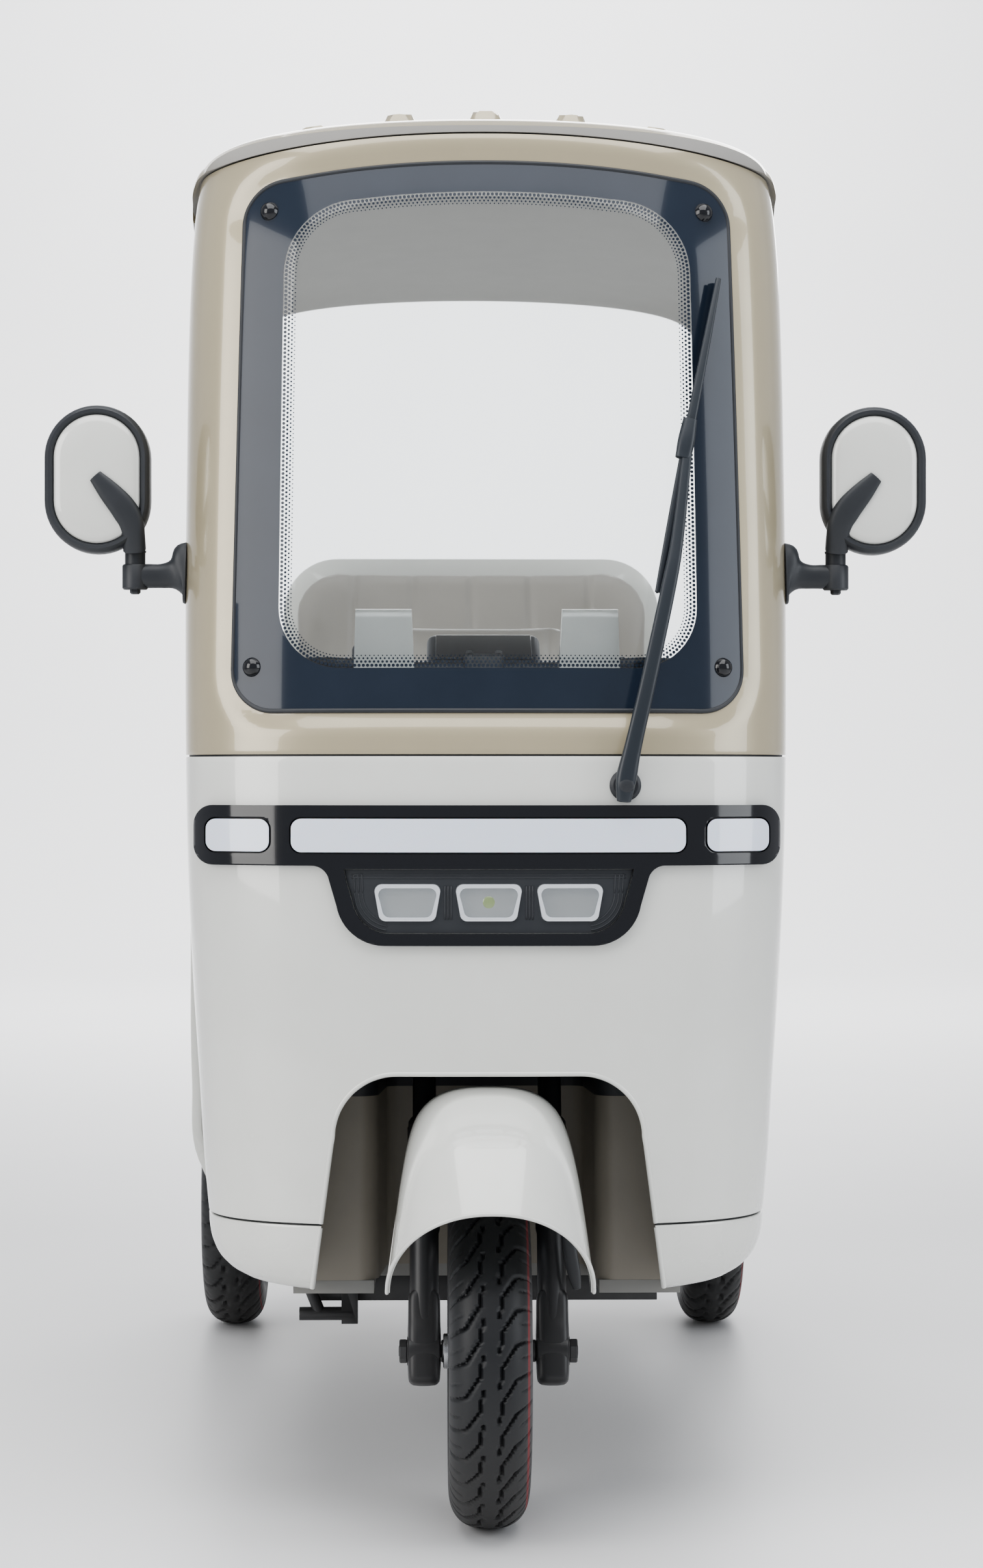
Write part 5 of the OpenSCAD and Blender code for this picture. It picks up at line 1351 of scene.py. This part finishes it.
def backPatch(name, outline, lift, thickness):
    xs, zs = [p[0] for p in outline], [p[1] for p in outline]

    def place(u, v):
        x = max(xs) + 4 - u * (max(xs) - min(xs) + 8)
        z = min(zs) - 4 + v * (max(zs) - min(zs) + 8)
        return x, tubBackY(x, z) + lift, z

    piece = gridPiece(name, 26, 26, place)
    applied(piece, "SOLIDIFY", thickness=thickness / 1000, offset=-1)
    return cut(piece, prismPiece("trim", outline, rearAxleY + 60, rearAxleY + 380), "INTERSECT")


def buildRearBody():
    low, high = tub["table"][0][0], tub["table"][-1][0]
    shell = gridPiece("rearBody", 120, 40, lambda u, v: tubSpot(u, low + v * (high - low)))
    weld(shell)
    applied(shell, "SOLIDIFY", thickness=tub["wall"] / 1000, offset=-1)
    rounded(shell, 2, 2, 60)
    houses, lips = [], []
    for side in (-1, 1):
        flip = Matrix.Scale(side, 4, (1, 0, 0))
        across = shift(0, rearAxleY, tyreRadius) @ turn(90, "Y")
        cut(shell, moved(lathePiece("arch", [(0, 325), (253, 325), (253, 520), (0, 520)], across, 96), flip))
        house = lathePiece("house", [(0, 318), (259, 318), (259, 444), (253, 444), (253, 324), (0, 324)], across, 96)
        cut(house, boxPiece("below", (400, 700, 400), (400, rearAxleY, 95), 0))
        houses.append(smoothed(weld(moved(house, flip)), 35))
        course = []
        for a in np.radians(np.linspace(18, 162, 40)):
            y, z = rearAxleY - 251 * math.cos(a), tyreRadius + 251 * math.sin(a)
            course.append((side * (float(tubSideX(y, z)) - 3), y, z))
        lips.append(smoothed(tubePiece("lip", course, 5), 60))
    rim = [[float(c) for c in tubSpot(np.array(u), np.array(high - 1.0), tub["wall"] / 2)] for u in np.linspace(0, 1, 70)]
    lips.append(smoothed(tubePiece("rim", rim, 9.5), 60))
    edge = [[float(c) for c in tubSpot(np.array(u), np.array(low + 2.0), tub["wall"] / 2)] for u in np.linspace(0, 1, 70)]
    lips.append(smoothed(tubePiece("edge", edge, 8.5), 60))
    loop = [tuple(float(c) for c in tubSpot(np.array(u), np.array(low), 9))[:2] for u in np.linspace(0, 1, 60)]
    deck = prismPiece("deck", loop, 292.5, 300, "Z")
    body = joined("rearBody", [smoothed(shell, 32)] + houses + lips + [smoothed(deck, 30)])
    finished(body, "body", "cream_paint", paint["cream"], "rear_body")

    lamps = []
    reds = []
    for side in (-1, 1):
        frameLine = pillOutline(side * 352, 700, 84, 210, 22)
        lamps.append(smoothed(rounded(backPatch("frame", frameLine, 6, 9), 2.5, 3, 50), 35))
        reds.append(smoothed(rounded(backPatch("lens", pillOutline(side * 352, 730, 64, 122, 14), 11, 10), 4, 3, 50), 35))
    finished(joined("tailLampFrames", lamps), "body", "gloss_black", paint["pianoBlack"])
    finished(joined("tailLampLenses", reds), "body", "lamp_glass", paint["redLens"])
    ambers = [smoothed(rounded(backPatch("lens", pillOutline(side * 352, 633, 64, 56, 14), 11, 10), 4, 3, 50), 35)
              for side in (-1, 1)]
    finished(joined("tailTurnLenses", ambers), "body", "lamp_glass", paint["amber"])

    pillars = []
    for side in (-1, 1):
        stations = [(side * x, frontAxleY + y, z, deep / 2, 12) for z, x, y, deep in tub["pillars"]]
        pillars.append(smoothed(sweptPiece("pillar", stations, (1, 0, 0), 5, 32, 6), 40))
    finished(joined("rearPillars", pillars), "body", "champagne_paint", paint["gold"], "rear_pillars")


buildRearBody()
dressed("frame", "chassis", 2.5, "body", "black_steel", paint["steel"])
dressed("head_tube", "headTube", 1.5, "body", "black_steel", paint["steel"])
dressed("bench_base", "benchBase", 6, "body", "cream_paint", paint["cream"])
dressed("back_shell", "benchShell", 2, "body", "cream_paint", paint["cream"])
dressed("battery", "batteryBlock", 8, "body", "black_plastic", paint["matt"])
dressed("rear_axle", "rearAxle", 2, "body", "black_steel", paint["steel"])
dressed("rear_springs", "rearSprings", 0.8, "body", "black_steel", paint["steel"])
dressed("drive_motor", "driveMotor", 3, "body", "cast_alloy", paint["alloy"])
dressed("brake_pedal", "brakePedal", 1.5, "body", "black_steel", paint["steel"])
dressed("seat_box", "seatBox", 6, "body", "cream_paint", paint["cream"])
dressed("seat_plate", "seatPlate", 0.8, "driver_seat", "black_steel", paint["steel"])
print("rear and chassis built")


# Cabin
cabin = {"dashStretch": 1.037, "matRibs": 26, "matZ": 290, "displayWidth": 132, "displayTall": 74}


def buildCabin():
    board = dressed("dashboard", "dashboard", 4, "body", "cream_paint", paint["cream"])
    moved(board, Matrix.Scale(cabin["dashStretch"], 4, (1, 0, 0)))
    dressed("floor_pan", "floorPan", 1.5, "body", "floor_mat", paint["mat"])
    ribs = []
    for index in range(cabin["matRibs"]):
        y = frontAxleY + 930 + index * 10.4
        ribs.append(boxPiece("rib", (560, 4.4, 3), (0, y, cabin["matZ"] + 4), 1.2))
    for index in range(17):
        y = frontAxleY + 395 + index * 10.4
        ribs.append(boxPiece("rib", (560, 4.4, 3), (0, y, cabin["matZ"] + 1.2), 1.2))
    finished(joined("floorRibs", ribs), "body", "floor_mat", paint["mat"])

    base = onAxis(steering["barAt"]) @ shift(0, 34, 30) @ turn(48, "X")
    pod = boxPiece("pod", (cabin["displayWidth"] + 24, cabin["displayTall"] + 22, 34), (0, 0, 0), 12, segments=4)
    cover = boxPiece("cover", (cabin["displayWidth"], cabin["displayTall"], 4), (0, 0, 17), 1.6, segments=3)
    finished(smoothed(moved(pod, base), 40), "steering", "black_plastic", paint["matt"]).name = "instrumentPod"
    finished(smoothed(moved(cover, base), 40), "steering", "gloss_black", paint["pianoBlack"]).name = "instrumentCover"


buildCabin()
print("cabin built")


# Seats
seats = {"pressure": 4, "frames": 20, "driverCap": 12, "benchCap": 14, "driverVoxel": 8.5, "benchVoxel": 11,
         "seamDepth": 5.0, "seamWidth": 5.5}


def softPad(name, outline, low, high, axis, voxel, edge, cap, place, seams, body, stand):
    pad = prismPiece(name, outline, low, high, axis)
    rounded(pad, edge, 4, 40)
    applied(pad, "REMESH", mode="VOXEL", voxel_size=voxel / 1000)
    level = {"Y": 1, "Z": 2}[axis]
    start = readSpots(pad.data)
    cloth = pad.modifiers.new("cloth", "CLOTH")
    cloth.settings.quality = 4
    cloth.settings.use_pressure = True
    cloth.settings.uniform_pressure_force = seats["pressure"]
    cloth.settings.effector_weights.gravity = 0
    scene = bpy.context.scene
    for step in range(1, seats["frames"] + 1):
        scene.frame_set(step)
    pick(pad)
    bpy.ops.object.modifier_apply(modifier=cloth.name)
    scene.frame_set(1)
    spots = readSpots(pad.data)
    travel = spots - start
    reach = np.maximum(np.linalg.norm(travel, axis=1), 1e-9)[:, None]
    spots = start + travel * np.minimum(1, cap / 1000 / reach)
    writeSpots(pad.data, spots)
    applied(pad, "SUBSURF", levels=1, render_levels=1)
    spots = readSpots(pad.data)
    flat = spots[:, [0, 3 - level]] * 1000
    face = np.ones(len(spots)) if axis == "Y" else smoothStep(0.55, 0.75, (spots[:, 2] * 1000 - low) / (high - low))
    front = smoothStep(0.1, -0.3, (spots[:, 1] * 1000 - (low + high) / 2) / (high - low)) if axis == "Y" else face
    push = np.zeros(len(spots))
    for seam in seams:
        for (ax, az), (bx, bz) in zip(seam[:-1], seam[1:]):
            dx, dz = bx - ax, bz - az
            share = np.clip(((flat[:, 0] - ax) * dx + (flat[:, 1] - az) * dz) / (dx * dx + dz * dz), 0, 1)
            away = np.hypot(flat[:, 0] - ax - share * dx, flat[:, 1] - az - share * dz)
            push = np.maximum(push, np.exp(-(away / seats["seamWidth"]) ** 2) + 0.35 * np.exp(-(away / 22) ** 2))
    sign = 1 if axis == "Y" else -1
    spots[:, level] += sign * push * front * seats["seamDepth"] / 1000
    writeSpots(pad.data, spots)
    moved(pad, place)
    finished(smoothed(pad, 80), body, "seat_leather", paint["leather"], stand)
    return pad


def buildSeats():
    driver = pillOutline(0, 0, 372, 276, 30)
    seam = [[(-150, -138), (-150, 138)], [(150, -138), (150, 138)], [(-150, -20), (150, -20)]]
    softPad("driverCushion", driver, 638, 684, "Z", seats["driverVoxel"], 18, seats["driverCap"],
            shift(0, frontAxleY + 741, 0), seam, "driver_seat", "driver_cushion")
    back = pillOutline(0, 266, 358, 508, 60)
    seam = [[(-112, 40), (-112, 500)], [(112, 40), (112, 500)], [(-112, 190), (112, 190)], [(-112, 350), (112, 350)]]
    softPad("driverBackrest", back, -22, 22, "Y", seats["driverVoxel"], 18, seats["driverCap"],
            shift(0, frontAxleY + 928, 670) @ turn(-8, "X"), seam, "driver_seat", "driver_backrest")
    bench = pillOutline(0, 0, 668, 420, 34)
    seam = [[(0, -210), (0, 210)], [(-300, -30), (300, -30)], [(-300, -210), (-300, 210)], [(300, -210), (300, 210)]]
    softPad("benchCushion", bench, 688, 760, "Z", seats["benchVoxel"], 22, seats["benchCap"],
            shift(0, rearAxleY - 166, 0), seam, "body", "bench_cushion")
    back = (arc(300, 40, 28, -90, 0, 6) + arc(240, 512, 84, 0, 90, 14)
            + arc(-240, 512, 84, 90, 180, 14) + arc(-300, 40, 28, 180, 270, 6))
    seam = [[(x, 150), (x, 600)] for x in (-210, -105, 0, 105, 210)] + [[(-328, 150), (328, 150)]]
    softPad("benchBackrest", back, -20, 20, "Y", seats["benchVoxel"], 16, seats["benchCap"],
            shift(0, rearAxleY + 87, 730) @ turn(-9, "X"), seam, "body", "bench_backrest")


buildSeats()
print("seats built")


# Stage, lights and camera
studio = {"floorY": 16.0, "back": 15.0, "wallZ": 12.0, "sweep": 4.0, "width": 44000}


def buildStage():
    reach, back, tall, bend = studio["floorY"], studio["back"], studio["wallZ"], studio["sweep"]
    course = [(-reach, 0)] + [(back - bend + bend * math.sin(a), bend - bend * math.cos(a))
                              for a in np.radians(np.linspace(0, 90, 16))] + [(back, tall)]

    def place(u, v):
        row = np.rint(v * (len(course) - 1)).astype(int)
        spots = np.array(course)[row] * 1000
        return (u - 0.5) * studio["width"], spots[:, 0], spots[:, 1]

    floor = gridPiece("stageFloor", 4, len(course) - 1, place)
    floor.data.materials.append(paint["floor"])
    smoothed(floor, 60)


def addLight(name, place, aim, size, power, colour=(1, 1, 1), tall=None):
    light = bpy.data.lights.new(name, "AREA")
    light.energy = power
    light.color = colour
    light.shape = "RECTANGLE"
    light.size = size
    light.size_y = tall or size
    lamp = bpy.data.objects.new(name, light)
    bpy.context.scene.collection.objects.link(lamp)
    lamp.location = place
    lamp.rotation_euler = (Vector(aim) - Vector(place)).to_track_quat("-Z", "Y").to_euler()


def buildCamera():
    camera = bpy.data.cameras.new("photoCamera")
    camera.lens = 77.2
    camera.sensor_fit = "VERTICAL"
    camera.sensor_height = 36
    camera.clip_start = 0.05
    camera.clip_end = 100
    eye = bpy.data.objects.new("photoCamera", camera)
    bpy.context.scene.collection.objects.link(eye)
    eye.location = (-0.074, (frontAxleY - 4237) / 1000, 0.938)
    eye.rotation_euler = (math.radians(90 - 0.06), 0, math.radians(-1.053))
    bpy.context.scene.camera = eye


def buildLight():
    world = bpy.data.worlds.new("paleStudio")
    world.use_nodes = True
    back = world.node_tree.nodes["Background"]
    back.inputs["Color"].default_value = (0.93, 0.95, 1.0, 1)
    back.inputs["Strength"].default_value = 0.55
    bpy.context.scene.world = world
    addLight("overhead", (0, -1.6, 4.6), (0, -0.2, 0.6), 4.5, 190)
    addLight("leftBank", (-4.2, -3.4, 2.4), (0, -0.6, 0.9), 2.6, 120, (1, 0.98, 0.95), 3.4)
    addLight("rightBank", (4.4, -2.6, 2.2), (0, -0.6, 0.9), 2.2, 75, (0.94, 0.97, 1), 3.2)
    addLight("backRim", (0.5, 4.6, 3.8), (0, 0.4, 1.2), 3.0, 90)
    addLight("backWash", (0, 8.0, 7.0), (0, 15.0, 1.0), 7.0, 1300)
    scene = bpy.context.scene
    scene.view_settings.view_transform = "AgX"
    scene.view_settings.look = "AgX - Medium High Contrast"


buildStage()
buildLight()
buildCamera()
print("stage built")
